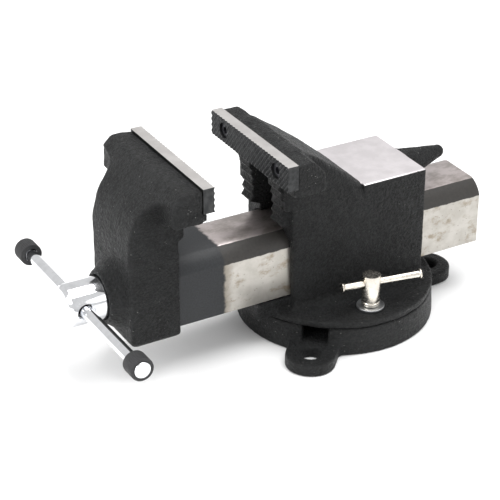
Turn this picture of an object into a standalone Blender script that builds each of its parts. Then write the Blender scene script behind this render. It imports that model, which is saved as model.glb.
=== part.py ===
"""Swivel-base bench vise: fixed body with anvil and horn, box-section sliding jaw, main screw and nut,
turning handle, and two T-bar lock bolts running in the base's ring slot.

Frame, in metres: Z up from the bench, origin on the swivel axis at the underside of the base.
Y runs along the main screw, from the handle (-Y) to the anvil (+Y). X runs across the jaws.
"""

import math

import bmesh
import bpy
from mathutils import Matrix

# ---------------------------------------------------------------- overall
JAW_WIDTH = 0.150
JAW_TOP = 0.213  # top edge of the jaw plates
JAW_OPENING = 0.076  # between the plate faces, as it stands
FIXED_FACE_Y = -0.102  # face of the fixed plate
FIT_GAP = 0.0003  # between pieces that are bolted or pressed together
RUN_GAP = 0.0005  # between pieces that move on each other
OVERLAP = 0.002  # how far one solid of a casting runs into the next
BEYOND = 0.010  # how far a cutter runs past what it cuts
TURNED_EDGE = 0.0006  # chamfer on small turned pieces
RING_EDGE = 0.0004  # chamfer on washers
KNOB_EDGE = 0.001  # chamfer on bolt heads and on the handle's end caps
ROUND_STEPS = 32
SMALL_STEPS = 20
CARRIER_SIZE = 0.03  # how large the empties on the joints are drawn

# ---------------------------------------------------------------- jaw plates
PLATE_THICK = 0.012
PLATE_HEIGHT = 0.0253
PLATE_SCREW_X = 0.051
PLATE_SCREW_DROP = 0.013  # screw axis below the top edge
PLATE_CHAMFER = 0.0006
SCREW_HEAD_R = 0.0076
SCREW_HEAD_LEN = 0.0045
SCREW_SINK = 0.003  # head's top below the plate's face
SCREW_SHANK_R = 0.0042
SCREW_BITE = 0.014  # length in the casting
SOCKET_R = 0.0034
SOCKET_DEEP = 0.003

# ---------------------------------------------------------------- castings, shared by both jaws
HEAD_TOP = JAW_TOP - 0.0015  # ground top behind each plate
HEAD_UNDER = HEAD_TOP - 0.0315  # underside of the wide head at its ends
HEAD_DEEP = 0.0305  # from the plate's seat to the far side of the head
HEAD_BEVEL_RUN = 0.012
HEAD_BEVEL_FALL = 0.0135
HEAD_TUCK_RUN = 0.006  # lower rear corner of the fixed head, cut back
HEAD_TUCK_RISE = 0.003
SKIRT_SETBACK = 0.004  # the curve below the fixed head starts behind the seat
LIP_REACH = 0.004  # ledge under the plate
CAST_ROUND = 0.0022
PIPE_IN_X = 0.018
PIPE_OUT_X = 0.040
PIPE_TOP = 0.1805
PIPE_BOTTOM = 0.133
PIPE_TEETH = 5
PIPE_TOOTH_DEEP = 0.0028
PIPE_HOLLOW = 0.0055  # how far the toothed faces curve away from the gap
PIPE_MIDDLE = 0.147  # height of the deepest point of the hollow
PIPE_ARC_HALF = 0.030
FIXED_PIPE_SETBACK = 0.0012  # tooth tips behind the lip at the top of the arc
MOVABLE_PIPE_SETBACK = 0.0075

# ---------------------------------------------------------------- body
BODY_HALF_X = 0.046
BODY_FRONT_TOP_Y = -0.0795
BODY_FRONT_LOW_Y = -0.0745
BODY_REAR_Y = 0.076
ANVIL_Z = 0.157
ANVIL_FRONT_Y = 0.003
CREST_Y = -0.071  # where the top behind the head starts to fall
CREST_DROP = 0.0008
FLANGE_R = 0.100
FLANGE_BOTTOM = 0.0295
FLANGE_TOP = 0.037
FLANGE_ROUND = 0.0018
FLANGE_STEPS = 48
SKIRT_OUT = 0.007
SKIRT_UP = 0.009
FLOOR_TOP = 0.0503
TOE_HALF_X = 0.038
TOE_FRONT_Y = -0.112
TOE_TOP = 0.0495
TOE_BOTTOM = 0.031
VOID_BACK_Y = -0.045
VOID_TOP = 0.172
HORN_ROOT_Y = 0.060
HORN_ROOT_Z = 0.1395
HORN_ROOT_R = 0.0215
HORN_TIP_Y = 0.127
HORN_TIP_Z = 0.147
HORN_TIP_R = 0.0072
HORN_STEPS = 16
HORN_TIP_ROUND = 0.0065
HORN_TIP_TURNS = (0.30, 0.61, 0.91)  # shares of a quarter turn round the tip
SLOPE_STEPS = 5  # facets of the slope from the head down to the anvil
SLOPE_BULGE = 1.15
CURVE_STEPS = 4
HEAD_CURVE_DROP = 0.018

# ---------------------------------------------------------------- slide
SLIDE_HALF_X = 0.0373
SLIDE_TOP_HALF_X = 0.0222
SLIDE_TOP = 0.1199
SLIDE_SHOULDER = 0.106
SLIDE_BOTTOM = 0.051
SLIDE_END_Y = 0.151
BORE_OVERRUN = 0.005
CHANNEL_HALF_X = 0.020
CHANNEL_TOP = 0.104
CHANNEL_FRONT_Y = -0.225

# ---------------------------------------------------------------- movable jaw column
COLUMN_HALF_X = 0.042
COLUMN_REAR_Y = -0.199
COLUMN_FRONT_Y = -0.2505
COLUMN_BOTTOM = 0.043
BOSS_ROOT_R = 0.0362
BOSS_RIM_R = 0.0262
BOSS_RIM_Y = -0.2643
BOSS_HOLE_R = 0.0225
BOSS_FLOOR_Y = -0.250
FRONT_CURVE_LOW = 0.142  # the front is upright below this
FRONT_CURVE_UP = 0.062  # half axes of the ellipse above it
FRONT_CURVE_BACK = 0.043
FRONT_BEVEL_LOW = HEAD_TOP - 0.0105
JAW_TOP_FRONT_Y = -0.210
WEB_CURVE_TOP = HEAD_TOP - 0.0085
WEB_CURVE_LOW = 0.175
COLUMN_TOE = 0.0045
SEAT_STEP = 1e-5  # height over which the lip steps back to the plate's seat
BOSS_CURVE = (0.28, 0.60)  # how far out the boss's two hollow rings lie
BOSS_DIP = (0.0012, 0.0016)

# ---------------------------------------------------------------- main screw
AXIS_Z = 0.084
THREAD_R = 0.012
THREAD_ROOT_R = THREAD_R - 0.0028
THREAD_PITCH = 0.006
THREAD_CREST = 0.0017
THREAD_FLANK_RUN = 0.32  # along the axis per unit of depth
THREAD_START_Y = -0.154
THREAD_END_Y = 0.050
THREAD_STEPS = 12
THREAD_GAP = 0.0009
THREAD_FLANK_GAP = 0.0006
SPINDLE_HEAD_R = 0.0215
SPINDLE_END_Y = -0.3025
SPINDLE_SHOULDER_Y = -0.2531
NECK_R = THREAD_R + 0.0002
SPINDLE_BORE_R = THREAD_R + 0.0008
SPINDLE_CHAMFER = 0.0020
CROSS_HOLE_Y = -0.2865
CROSS_HOLE_R = 0.0066  # 0.6 mm more than the bar it carries
CROSS_HOLE_RIM_R = 0.0088
CROSS_HOLE_RIM_DEEP = 0.003
THRUST_WASHER_R = 0.0212
THRUST_WASHER_THICK = 0.0025
COLLAR_R = 0.0182
COLLAR_NEAR_Y = -0.2128
COLLAR_LEN = 0.009
PIN_R = 0.0024
SPRING_R = NECK_R + 0.0030
SPRING_WIRE_R = 0.0016
SPRING_TURNS = 3
SPRING_STEPS = 14
WIRE_STEPS = 6
WIRE_SMOOTH = 80  # degrees: the wire's few sides still shade as round
SHANK_STEPS = 12
NUT_HALF_X = 0.018
NUT_TOP = 0.1025
NUT_FRONT_Y = -0.075
NUT_LEN = 0.038
NUT_BOLT_R = 0.005
NUT_BOLT_HEAD_R = 0.0088
NUT_BOLT_HEAD_LEN = 0.006
NUT_BOLT_TOP = 0.066
NUT_ARCH = 0.0099
NUT_EDGE = 0.001

# ---------------------------------------------------------------- handle
HANDLE_TURN = math.radians(1.5)  # as it stands, about the screw's axis
HANDLE_R = 0.006
HANDLE_NEAR_X = 0.140
HANDLE_FAR_X = -0.130
KNOB_LEN = 0.0160
KNOB_CORE_R = HANDLE_R + 0.0020
KNOB_END_WALL = 0.005
BUMPER_R = KNOB_CORE_R + 0.0034
BUMPER_SET = 0.0008  # the rubber sleeve starts this far from the knob's end
BUMPER_LEN = 0.0174
BUMPER_CHAMFER = 0.0020
BUMPER_MOUTH_R = HANDLE_R + 0.0008  # where the sleeve closes round the bar
BAR_STEPS = 24

# ---------------------------------------------------------------- lock bolts
LOCK_X = 0.0755
LOCK_Y = -0.005
LOCK_HEAD_R = 0.0092
LOCK_HEAD_BOTTOM = 0.0402
LOCK_HEAD_TOP = 0.074
LOCK_GROOVE_Z = 0.0445
LOCK_SHANK_R = 0.005
LOCK_SHANK_BOTTOM = 0.0136
LOCK_WASHER_R = 0.0140
LOCK_WASHER_THICK = 0.0024
WASHER_STEPS = 28
TBAR_R = 0.0036
TBAR_Z = 0.0645
TBAR_FRONT = 0.0318
TBAR_REAR = 0.0532
TBAR_FLARE_R = 0.0052
TBAR_FLARE_LEN = 0.0016
TBAR_TURN = math.radians(9.6)
TBAR_HOLE_R = TBAR_R + 0.0005
LOCK_NUT_HALF = 0.0085
LOCK_NUT_EDGE = 0.0008
LOCK_GROOVE_DEEP = 0.0007
LOCK_NUT_TOP = 0.0216
LOCK_NUT_BOTTOM = 0.0134

# ---------------------------------------------------------------- base
BASE_R = 0.1012
BASE_TOP_R = 0.0998
BASE_TOP = 0.029
BASE_SLOT_IN_R = 0.0700
BASE_SLOT_OUT_R = 0.0810
CHANNEL_IN_R = 0.0645
CHANNEL_OUT_R = 0.0868
CHANNEL_FLOOR = 0.013
DECK_UNDER = 0.022
HOLLOW_TOP = 0.005
HOLLOW_IN_R = 0.027
HOLLOW_OUT_R = 0.091
LUG_OUT = 0.118  # lug hole's centre from the swivel axis
LUG_R = 0.025
LUG_TOP = 0.013
LUG_FILLET = 0.008  # where a lug's sides run into the ring
LUG_INSIDE = 0.090
LUG_STEPS = 10
LUG_HOLE_STEPS = 16
LUG_EDGE = 0.0016
LUG_HOLE_HALF = 0.0092
LUG_HOLE_STRETCH = 0.0016
LUG_TURN = math.radians(2)
LUG_ANGLES = (-45, 90, 225)
WINDOW_HALF = 0.013
WINDOW_IN_R = 0.078
PIVOT_R = 0.010
PIVOT_TOP = 0.0455
PIVOT_HEAD_R = 0.017
PIVOT_HEAD_LEN = 0.007
PIVOT_RECESS_R = 0.020
PIVOT_RECESS_DEEP = 0.0115
PIVOT_WASHER_THICK = 0.0022
PIVOT_WASHER_PLAY = 0.0012

HALF_JAW = JAW_WIDTH / 2
FIXED_SEAT_Y = FIXED_FACE_Y + PLATE_THICK
MOVABLE_FACE_Y = FIXED_FACE_Y - JAW_OPENING
MOVABLE_SEAT_Y = MOVABLE_FACE_Y - PLATE_THICK
PLATE_BOTTOM = JAW_TOP - PLATE_HEIGHT


def paint(name, colour, metallic, roughness):
    made = bpy.data.materials.new(name)
    made.use_nodes = True
    shader = made.node_tree.nodes["Principled BSDF"]
    shader.inputs["Base Color"].default_value = (*colour, 1)
    shader.inputs["Metallic"].default_value = metallic
    shader.inputs["Roughness"].default_value = roughness
    return made


for old in list(bpy.data.objects):
    bpy.data.objects.remove(old)

HELPERS = bpy.data.collections.new("helpers")
HELPERS.hide_render = True
bpy.context.scene.collection.children.link(HELPERS)


def solid(name, points, faces, material=None):
    """A closed mesh object facing out. With no material it is a helper that a Boolean reads."""
    mesh = bpy.data.meshes.new(name)
    work = bmesh.new()
    corners = [work.verts.new(point) for point in points]
    for face in faces:
        work.faces.new([corners[index] for index in face])
    bmesh.ops.remove_doubles(work, verts=work.verts, dist=1e-6)
    bmesh.ops.recalc_face_normals(work, faces=work.faces)
    work.to_mesh(mesh)
    work.free()
    made = bpy.data.objects.new(name, mesh)
    if material is None:
        HELPERS.objects.link(made)
        made.hide_render = True
        made.display_type = "WIRE"
    else:
        mesh.materials.append(material)
        bpy.context.scene.collection.objects.link(made)
    return made


def place(axis, u, v, along):
    """A point from its two coordinates across the axis, in X, Y, Z order, and one along it."""
    return {"X": (along, u, v), "Y": (u, along, v), "Z": (u, v, along)}[axis]


def prism(name, outline, axis, low, high, material=None):
    count = len(outline)
    points = [place(axis, u, v, low) for u, v in outline] + [place(axis, u, v, high) for u, v in outline]
    sides = [(i, (i + 1) % count, count + (i + 1) % count, count + i) for i in range(count)]
    ends = [tuple(range(count)), tuple(range(count, 2 * count))]
    return solid(name, points, sides + ends, material)


def box(name, low, high, material=None):
    outline = [(low[0], low[1]), (high[0], low[1]), (high[0], high[1]), (low[0], high[1])]
    return prism(name, outline, "Z", low[2], high[2], material)


def lathe(name, profile, axis, centre, material=None, steps=ROUND_STEPS):
    """Turns a closed outline of (radius, position along the axis). Points at radius 0 become one point."""
    points = []
    for radius, along in profile:
        for step in range(steps):
            angle = 2 * math.pi * step / steps
            u = centre[0] + radius * math.cos(angle)
            v = centre[1] + radius * math.sin(angle)
            points.append(place(axis, u, v, along))
    faces = []
    for i in range(len(profile)):
        j = (i + 1) % len(profile)
        if profile[i][0] == 0 and profile[j][0] == 0:
            continue
        for step in range(steps):
            after = (step + 1) % steps
            ring = [i * steps + step, i * steps + after, j * steps + after, j * steps + step]
            if profile[i][0] == 0:
                ring.pop(1)
            elif profile[j][0] == 0:
                ring.pop(2)
            faces.append(tuple(ring))
    return solid(name, points, faces, material)


def rod(name, radius, axis, centre, low, high, material=None, steps=ROUND_STEPS):
    return lathe(name, [(0, low), (radius, low), (radius, high), (0, high)], axis, centre, material, steps)


def loft(name, rings, material=None):
    """Joins rings of equal count, closing the first and the last with a face."""
    count = len(rings[0])
    points = [point for ring in rings for point in ring]
    faces = [tuple(range(count)), tuple(range(len(points) - count, len(points)))]
    for row in range(len(rings) - 1):
        for i in range(count):
            after = (i + 1) % count
            near = row * count
            faces.append((near + i, near + after, near + count + after, near + count + i))
    return solid(name, points, faces, material)


def combine(target, other, operation):
    step = target.modifiers.new(f"{operation.lower()} {other.name}", "BOOLEAN")
    step.operation = operation
    step.solver = "EXACT"
    step.object = other
    return target


def cut(target, *others):
    for other in others:
        combine(target, other, "DIFFERENCE")


def add(target, *others):
    for other in others:
        combine(target, other, "UNION")


def soften(target, width=CAST_ROUND, steps=1, limit=35):
    """Breaks the sharp edges of a casting."""
    rounding = target.modifiers.new("edge round", "BEVEL")
    rounding.width = width
    rounding.segments = steps
    rounding.limit_method = "ANGLE"
    rounding.angle_limit = math.radians(limit)
    return target


def shade(target, angle=32):
    """Smooth across shallow edges, and sharp across the rest."""
    for face in target.data.polygons:
        face.use_smooth = True
    target.data.set_sharp_from_angle(angle=math.radians(angle))
    return target


def turned(target, pivot, axis, angle):
    """Turns the mesh itself, so that the object's frame stays square to the world."""
    there = Matrix.Translation(pivot)
    target.data.transform(there @ Matrix.Rotation(angle, 4, axis) @ there.inverted())
    return target


def thread(name, root_r, crest_r, flank_gap, low, high, tip_chamfer, material=None):
    """A right-hand trapezoid thread on the main screw's axis, rows along the helix, ends capped."""
    flank = (crest_r - root_r) * THREAD_FLANK_RUN
    marks = [
        (-flank_gap, root_r),
        (flank - flank_gap, crest_r),
        (flank + THREAD_CREST + flank_gap, crest_r),
        (2 * flank + THREAD_CREST + flank_gap, root_r),
    ]
    per_turn = len(marks)
    first_turn = math.floor((low - THREAD_START_Y) / THREAD_PITCH) - 2
    turns = math.ceil((high - low) / THREAD_PITCH) + 4

    def corner(row, column):
        offset, radius = marks[row % per_turn]
        turn = first_turn + row // per_turn + column / THREAD_STEPS
        along = THREAD_START_Y + THREAD_PITCH * turn + offset
        if along <= low or along >= high:
            along, radius = min(max(along, low), high), root_r
        angle = 2 * math.pi * column / THREAD_STEPS
        return (radius * math.sin(angle), along, AXIS_Z + radius * math.cos(angle))

    rows = per_turn * turns
    points = []
    faces = []
    for column in range(THREAD_STEPS):
        for row in range(rows):
            near = len(points)
            points += [corner(row, column), corner(row + 1, column), corner(row + 1, column + 1)]
            points.append(corner(row, column + 1))
            faces.append((near, near + 1, near + 2, near + 3))
    for along, outward in ((low, -1), (high, 1)):
        rim = []
        tip = []
        for column in range(THREAD_STEPS):
            angle = 2 * math.pi * column / THREAD_STEPS
            x, z = math.sin(angle), math.cos(angle)
            rim.append((root_r * x, along, AXIS_Z + root_r * z))
            small = root_r - tip_chamfer
            tip.append((small * x, along + outward * tip_chamfer, AXIS_Z + small * z))
        near = len(points)
        points += rim + tip
        for column in range(THREAD_STEPS):
            after = (column + 1) % THREAD_STEPS
            inner = near + THREAD_STEPS
            faces.append((near + column, near + after, inner + after, inner + column))
        faces.append(tuple(range(near + THREAD_STEPS, near + 2 * THREAD_STEPS)))
    return helical_solid(name, points, faces, material)


def helical_solid(name, points, faces, material):
    """As solid(), but welds the points and drops the faces that fold flat where the thread runs out."""
    kept = {}
    index = [kept.setdefault(tuple(round(value, 7) for value in point), len(kept)) for point in points]
    corners = list(kept)
    clean = []
    for face in faces:
        ring = []
        for number in face:
            if index[number] not in ring:
                ring.append(index[number])
        if len(ring) > 2:
            clean.append(tuple(ring))
    return solid(name, corners, clean, material)


CAST = paint("cast_body", (0.035, 0.036, 0.038), 0.0, 0.55)
CAST_JAW = paint("cast_jaw", (0.037, 0.038, 0.040), 0.0, 0.55)
CAST_BASE = paint("cast_base", (0.034, 0.035, 0.037), 0.0, 0.6)
PLATE_STEEL = paint("plate_steel", (0.52, 0.51, 0.49), 1.0, 0.35)
BLACK_STEEL = paint("black_steel", (0.05, 0.05, 0.055), 0.8, 0.45)
CHROME = paint("chrome", (0.86, 0.87, 0.88), 1.0, 0.08)
NICKEL = paint("nickel", (0.78, 0.74, 0.66), 1.0, 0.22)
ZINC = paint("zinc", (0.55, 0.56, 0.57), 1.0, 0.35)
RUBBER = paint("rubber", (0.02, 0.02, 0.02), 0.0, 0.8)
SPRING_STEEL = paint("spring_steel", (0.35, 0.35, 0.36), 1.0, 0.35)
NUT_IRON = paint("nut_iron", (0.22, 0.21, 0.20), 0.6, 0.55)


def pipe_column(name, side, seat_y, out_y, setback, behind_y):
    """One cheek of the pipe jaws, its toothed face hollow. out_y is -1 for the fixed jaw."""
    outline = [(behind_y, PIPE_BOTTOM - PIPE_HOLLOW)]
    for step in range(2 * PIPE_TEETH + 1):
        height = PIPE_BOTTOM + (PIPE_TOP - PIPE_BOTTOM) * step / (2 * PIPE_TEETH)
        inward = PIPE_HOLLOW * (1 - ((height - PIPE_MIDDLE) / PIPE_ARC_HALF) ** 2)
        inward += PIPE_TOOTH_DEEP if step % 2 else 0
        outline.append((seat_y + out_y * (LIP_REACH - setback - inward), height))
    outline.append((behind_y, PIPE_TOP))
    near, far = sorted((side * PIPE_IN_X, side * PIPE_OUT_X))
    return prism(name, outline, "X", near, far)


def head_skirt(name, near_y, far_y):
    """The hollow curve from the underside of a wide head to the narrower body below it."""
    outline = [(-HALF_JAW, HEAD_UNDER + OVERLAP)]
    for step in range(CURVE_STEPS + 1):
        angle = math.pi / 2 * step / CURVE_STEPS
        reach = (HALF_JAW - BODY_HALF_X) * math.sin(angle)
        drop = HEAD_CURVE_DROP * (1 - math.cos(angle))
        outline.append((-HALF_JAW + reach, HEAD_UNDER - drop))
    outline.append((-BODY_HALF_X + OVERLAP, HEAD_UNDER - HEAD_CURVE_DROP))
    outline += [(-u, v) for u, v in reversed(outline)]
    return prism(name, outline, "Y", near_y, far_y)


def slide_section(clear, bottom):
    """The slide's section, or the tunnel's where clear is the running gap."""
    near_side = [
        (SLIDE_HALF_X + clear, bottom),
        (SLIDE_HALF_X + clear, SLIDE_SHOULDER + clear / 2),
        (SLIDE_TOP_HALF_X + clear / 2, SLIDE_TOP + clear),
    ]
    return near_side + [(-u, v) for u, v in reversed(near_side)]


# ---------------------------------------------------------------- vise body
def body_casting():
    block = [
        (BODY_FRONT_LOW_Y, TOE_BOTTOM),
        (BODY_FRONT_TOP_Y, HEAD_UNDER + OVERLAP),
        (FIXED_SEAT_Y + OVERLAP, HEAD_UNDER + OVERLAP),
        (FIXED_SEAT_Y + OVERLAP, HEAD_TOP - CREST_DROP),
    ]
    crest = HEAD_TOP - CREST_DROP
    for step in range(SLOPE_STEPS + 1):
        share = step / SLOPE_STEPS
        fall = (crest - ANVIL_Z) * share**SLOPE_BULGE
        block.append((CREST_Y + (ANVIL_FRONT_Y - CREST_Y) * share, crest - fall))
    block += [(BODY_REAR_Y, ANVIL_Z), (BODY_REAR_Y, TOE_BOTTOM)]
    body = prism("vise_body", block, "X", -BODY_HALF_X, BODY_HALF_X, CAST)
    soften(body, limit=50)

    seat = FIXED_SEAT_Y
    head = [
        (seat, HEAD_TOP),
        (seat + HEAD_DEEP - HEAD_BEVEL_RUN, HEAD_TOP),
        (seat + HEAD_DEEP, HEAD_TOP - HEAD_BEVEL_FALL),
        (seat + HEAD_DEEP, HEAD_UNDER + HEAD_TUCK_RISE),
        (seat + HEAD_DEEP - HEAD_TUCK_RUN, HEAD_UNDER),
        (seat - LIP_REACH, HEAD_UNDER),
        (seat - LIP_REACH, PLATE_BOTTOM - FIT_GAP),
        (seat, PLATE_BOTTOM - FIT_GAP),
    ]
    add(body, prism("fixed_head", head, "X", -HALF_JAW, HALF_JAW))
    add(body, head_skirt("fixed_head_curve", seat + SKIRT_SETBACK, seat + HEAD_DEEP - OVERLAP))
    for side in (-1, 1):
        behind = BODY_FRONT_TOP_Y + 2 * OVERLAP
        add(body, pipe_column(f"pipe_cheek_{side}", side, seat, -1, FIXED_PIPE_SETBACK, behind))

    flange = [
        (0, FLANGE_BOTTOM),
        (FLANGE_R - FLANGE_ROUND / 2, FLANGE_BOTTOM),
        (FLANGE_R, FLANGE_BOTTOM + FLANGE_ROUND / 2),
        (FLANGE_R, FLANGE_TOP - FLANGE_ROUND),
        (FLANGE_R - FLANGE_ROUND, FLANGE_TOP),
        (0, FLANGE_TOP),
    ]
    add(body, lathe("flange", flange, "Z", (0, 0), steps=FLANGE_STEPS))
    skirt = []
    for out, height in ((SKIRT_OUT, FLANGE_TOP - OVERLAP), (SKIRT_OUT / 3, FLANGE_TOP + SKIRT_UP / 3),
                        (-OVERLAP / 4, FLANGE_TOP + SKIRT_UP)):
        x = BODY_HALF_X + out
        near, far = BODY_FRONT_LOW_Y - out, BODY_REAR_Y + out
        skirt.append([(-x, near, height), (x, near, height), (x, far, height), (-x, far, height)])
    add(body, loft("skirt", skirt))
    add(body, box("toe", (-TOE_HALF_X, TOE_FRONT_Y, TOE_BOTTOM + FIT_GAP), (TOE_HALF_X, 0, TOE_TOP)))
    add(body, horn())

    tunnel = slide_section(RUN_GAP, FLOOR_TOP)
    cut(body, prism("tunnel", tunnel, "Y", TOE_FRONT_Y - BEYOND, BODY_REAR_Y + BEYOND))
    throat_low = (-PIPE_IN_X, FIXED_FACE_Y, AXIS_Z + THREAD_R)
    cut(body, box("throat", throat_low, (PIPE_IN_X, VOID_BACK_Y, VOID_TOP)))
    cut(body, rod("pivot_bore", PIVOT_R + FIT_GAP, "Z", (0, 0), 0, PIVOT_TOP + RUN_GAP, steps=SMALL_STEPS))
    nut_y = NUT_FRONT_Y + NUT_LEN / 2
    recess_top = FLANGE_BOTTOM + NUT_BOLT_HEAD_LEN + 3 * FIT_GAP
    stepped = [
        (0, 0),
        (NUT_BOLT_HEAD_R + FIT_GAP, 0),
        (NUT_BOLT_HEAD_R + FIT_GAP, recess_top),
        (NUT_BOLT_R + FIT_GAP, recess_top),
        (NUT_BOLT_R + FIT_GAP, AXIS_Z),
        (0, AXIS_Z),
    ]
    cut(body, lathe("nut_bolt_bore", stepped, "Z", (0, nut_y), steps=SMALL_STEPS))
    for side in (-1, 1):
        where = (side * LOCK_X, LOCK_Y)
        cut(body, rod(f"lock_bore_{side}", LOCK_SHANK_R + RUN_GAP, "Z", where, 0, AXIS_Z, steps=SMALL_STEPS))
        plate_bore(body, f"fixed_plate_bore_{side}", side, seat, 1)
    return shade(body)


def plate_bore(casting, name, side, seat_y, inward):
    where = (side * PLATE_SCREW_X, JAW_TOP - PLATE_SCREW_DROP)
    deep = seat_y + inward * (SCREW_BITE + 2 * FIT_GAP)
    low, high = sorted((seat_y - inward * OVERLAP, deep))
    cut(casting, rod(name, SCREW_SHANK_R + FIT_GAP, "Y", where, low, high, steps=SHANK_STEPS))


def horn():
    """A blunt cone off the anvil's rear, its tip rounded over."""
    round_start = HORN_TIP_Y - HORN_TIP_ROUND
    stations = [(0, HORN_ROOT_Y, HORN_ROOT_R), (1, round_start, HORN_TIP_R)]
    for share in HORN_TIP_TURNS:
        angle = math.pi / 2 * share
        stations.append((1, round_start + HORN_TIP_ROUND * math.sin(angle), HORN_TIP_R * math.cos(angle)))
    rings = []
    for share, along, radius in stations:
        height = HORN_ROOT_Z + (HORN_TIP_Z - HORN_ROOT_Z) * share
        ring = []
        for step in range(HORN_STEPS):
            angle = 2 * math.pi * (step + 0.5) / HORN_STEPS
            ring.append((radius * math.cos(angle), along, height + radius * math.sin(angle)))
        rings.append(ring)
    return loft("horn", rings)


# ---------------------------------------------------------------- movable jaw
def front_at(height):
    """The movable jaw's front face: upright at the column, then an ellipse, then the bevel to the top."""
    share = max(0, min(height, FRONT_BEVEL_LOW) - FRONT_CURVE_LOW) / FRONT_CURVE_UP
    front = COLUMN_FRONT_Y + FRONT_CURVE_BACK * (1 - math.sqrt(1 - share**2))
    bevel = max(0, height - FRONT_BEVEL_LOW) / (HEAD_TOP - FRONT_BEVEL_LOW)
    return front + (JAW_TOP_FRONT_Y - front) * bevel


def hollow_width(height, low, high):
    """Half width at a height, on a quarter ellipse from the column out to the full head."""
    if height <= low:
        return COLUMN_HALF_X
    if height >= high:
        return HALF_JAW
    share = (height - low) / (high - low)
    return HALF_JAW - (HALF_JAW - COLUMN_HALF_X) * math.sqrt(1 - share**2)


def jaw_heights():
    underside = HEAD_UNDER - HEAD_CURVE_DROP
    heights = {COLUMN_BOTTOM, COLUMN_BOTTOM + COLUMN_TOE, FRONT_CURVE_LOW, underside, HEAD_UNDER}
    for step in range(1, CURVE_STEPS):
        angle = math.pi / 2 * step / CURVE_STEPS
        heights.add(underside + HEAD_CURVE_DROP * math.sin(angle))
        heights.add(WEB_CURVE_LOW + (WEB_CURVE_TOP - WEB_CURVE_LOW) * math.sin(angle))
    seat_edge = PLATE_BOTTOM - FIT_GAP
    heights |= {WEB_CURVE_TOP, FRONT_BEVEL_LOW, seat_edge, seat_edge + SEAT_STEP, HEAD_TOP}
    kept = []
    for height in sorted(heights):
        if kept and 2 * SEAT_STEP < height - kept[-1] < CAST_ROUND / 2:
            continue
        kept.append(height)
    return kept


def jaw_casting():
    """One closed skin of T-shaped sections up the column, then the boss, the slide and the bores."""
    seat = MOVABLE_SEAT_Y
    head_front = seat - HEAD_DEEP
    underside = HEAD_UNDER - HEAD_CURVE_DROP
    rings = []
    for height in jaw_heights():
        rise = (height - underside) / HEAD_CURVE_DROP
        wide = hollow_width(height, underside, HEAD_UNDER)
        narrow = min(wide, hollow_width(height, WEB_CURVE_LOW, WEB_CURVE_TOP))
        front = front_at(height) + (COLUMN_TOE if height == COLUMN_BOTTOM else 0)
        bar = max(head_front, front) if height > underside else front
        if height <= underside:
            back = COLUMN_REAR_Y
        elif height < HEAD_UNDER:
            back = COLUMN_REAR_Y + (seat + LIP_REACH - COLUMN_REAR_Y) * rise
        else:
            back = seat + LIP_REACH if height < PLATE_BOTTOM - FIT_GAP + SEAT_STEP / 2 else seat
        rings.append([
            (wide, back, height), (-wide, back, height), (-wide, bar, height), (-narrow, bar, height),
            (-narrow, front, height), (narrow, front, height), (narrow, bar, height), (wide, bar, height),
        ])
    jaw = loft("movable_jaw", rings, CAST_JAW)
    soften(jaw)

    section = slide_section(0, SLIDE_BOTTOM)
    bar = prism("slide_bar", section, "Y", COLUMN_REAR_Y - 2 * OVERLAP, SLIDE_END_Y)
    add(jaw, bar)
    boss = [
        (0, COLUMN_FRONT_Y + OVERLAP),
        (BOSS_ROOT_R, COLUMN_FRONT_Y + OVERLAP),
        (BOSS_ROOT_R, COLUMN_FRONT_Y),
    ]
    for number, (share, dip) in enumerate(zip(BOSS_CURVE, BOSS_DIP)):
        radius = BOSS_ROOT_R + (BOSS_RIM_R - BOSS_ROOT_R) * (number + 1) / (len(BOSS_CURVE) + 1) - dip
        boss.append((radius, COLUMN_FRONT_Y + (BOSS_RIM_Y - COLUMN_FRONT_Y) * share))
    boss += [(BOSS_RIM_R, BOSS_RIM_Y), (0, BOSS_RIM_Y)]
    add(jaw, lathe("boss", boss, "Y", (0, AXIS_Z)))
    for side in (-1, 1):
        behind = COLUMN_REAR_Y - 2 * OVERLAP
        add(jaw, pipe_column(f"jaw_cheek_{side}", side, seat, 1, MOVABLE_PIPE_SETBACK, behind))

    channel = (CHANNEL_HALF_X, SLIDE_END_Y + BEYOND, CHANNEL_TOP)
    cut(jaw, box("channel", (-CHANNEL_HALF_X, CHANNEL_FRONT_Y, COLUMN_BOTTOM - BEYOND), channel))
    hole = [
        (0, BOSS_RIM_Y - BEYOND),
        (BOSS_HOLE_R, BOSS_RIM_Y - BEYOND),
        (BOSS_HOLE_R, BOSS_FLOOR_Y),
        (SPINDLE_BORE_R, BOSS_FLOOR_Y),
        (SPINDLE_BORE_R, CHANNEL_FRONT_Y + BORE_OVERRUN),
        (0, CHANNEL_FRONT_Y + BORE_OVERRUN),
    ]
    cut(jaw, lathe("spindle_hole", hole, "Y", (0, AXIS_Z)))
    for side in (-1, 1):
        plate_bore(jaw, f"movable_plate_bore_{side}", side, seat, -1)
    return shade(jaw)


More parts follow.
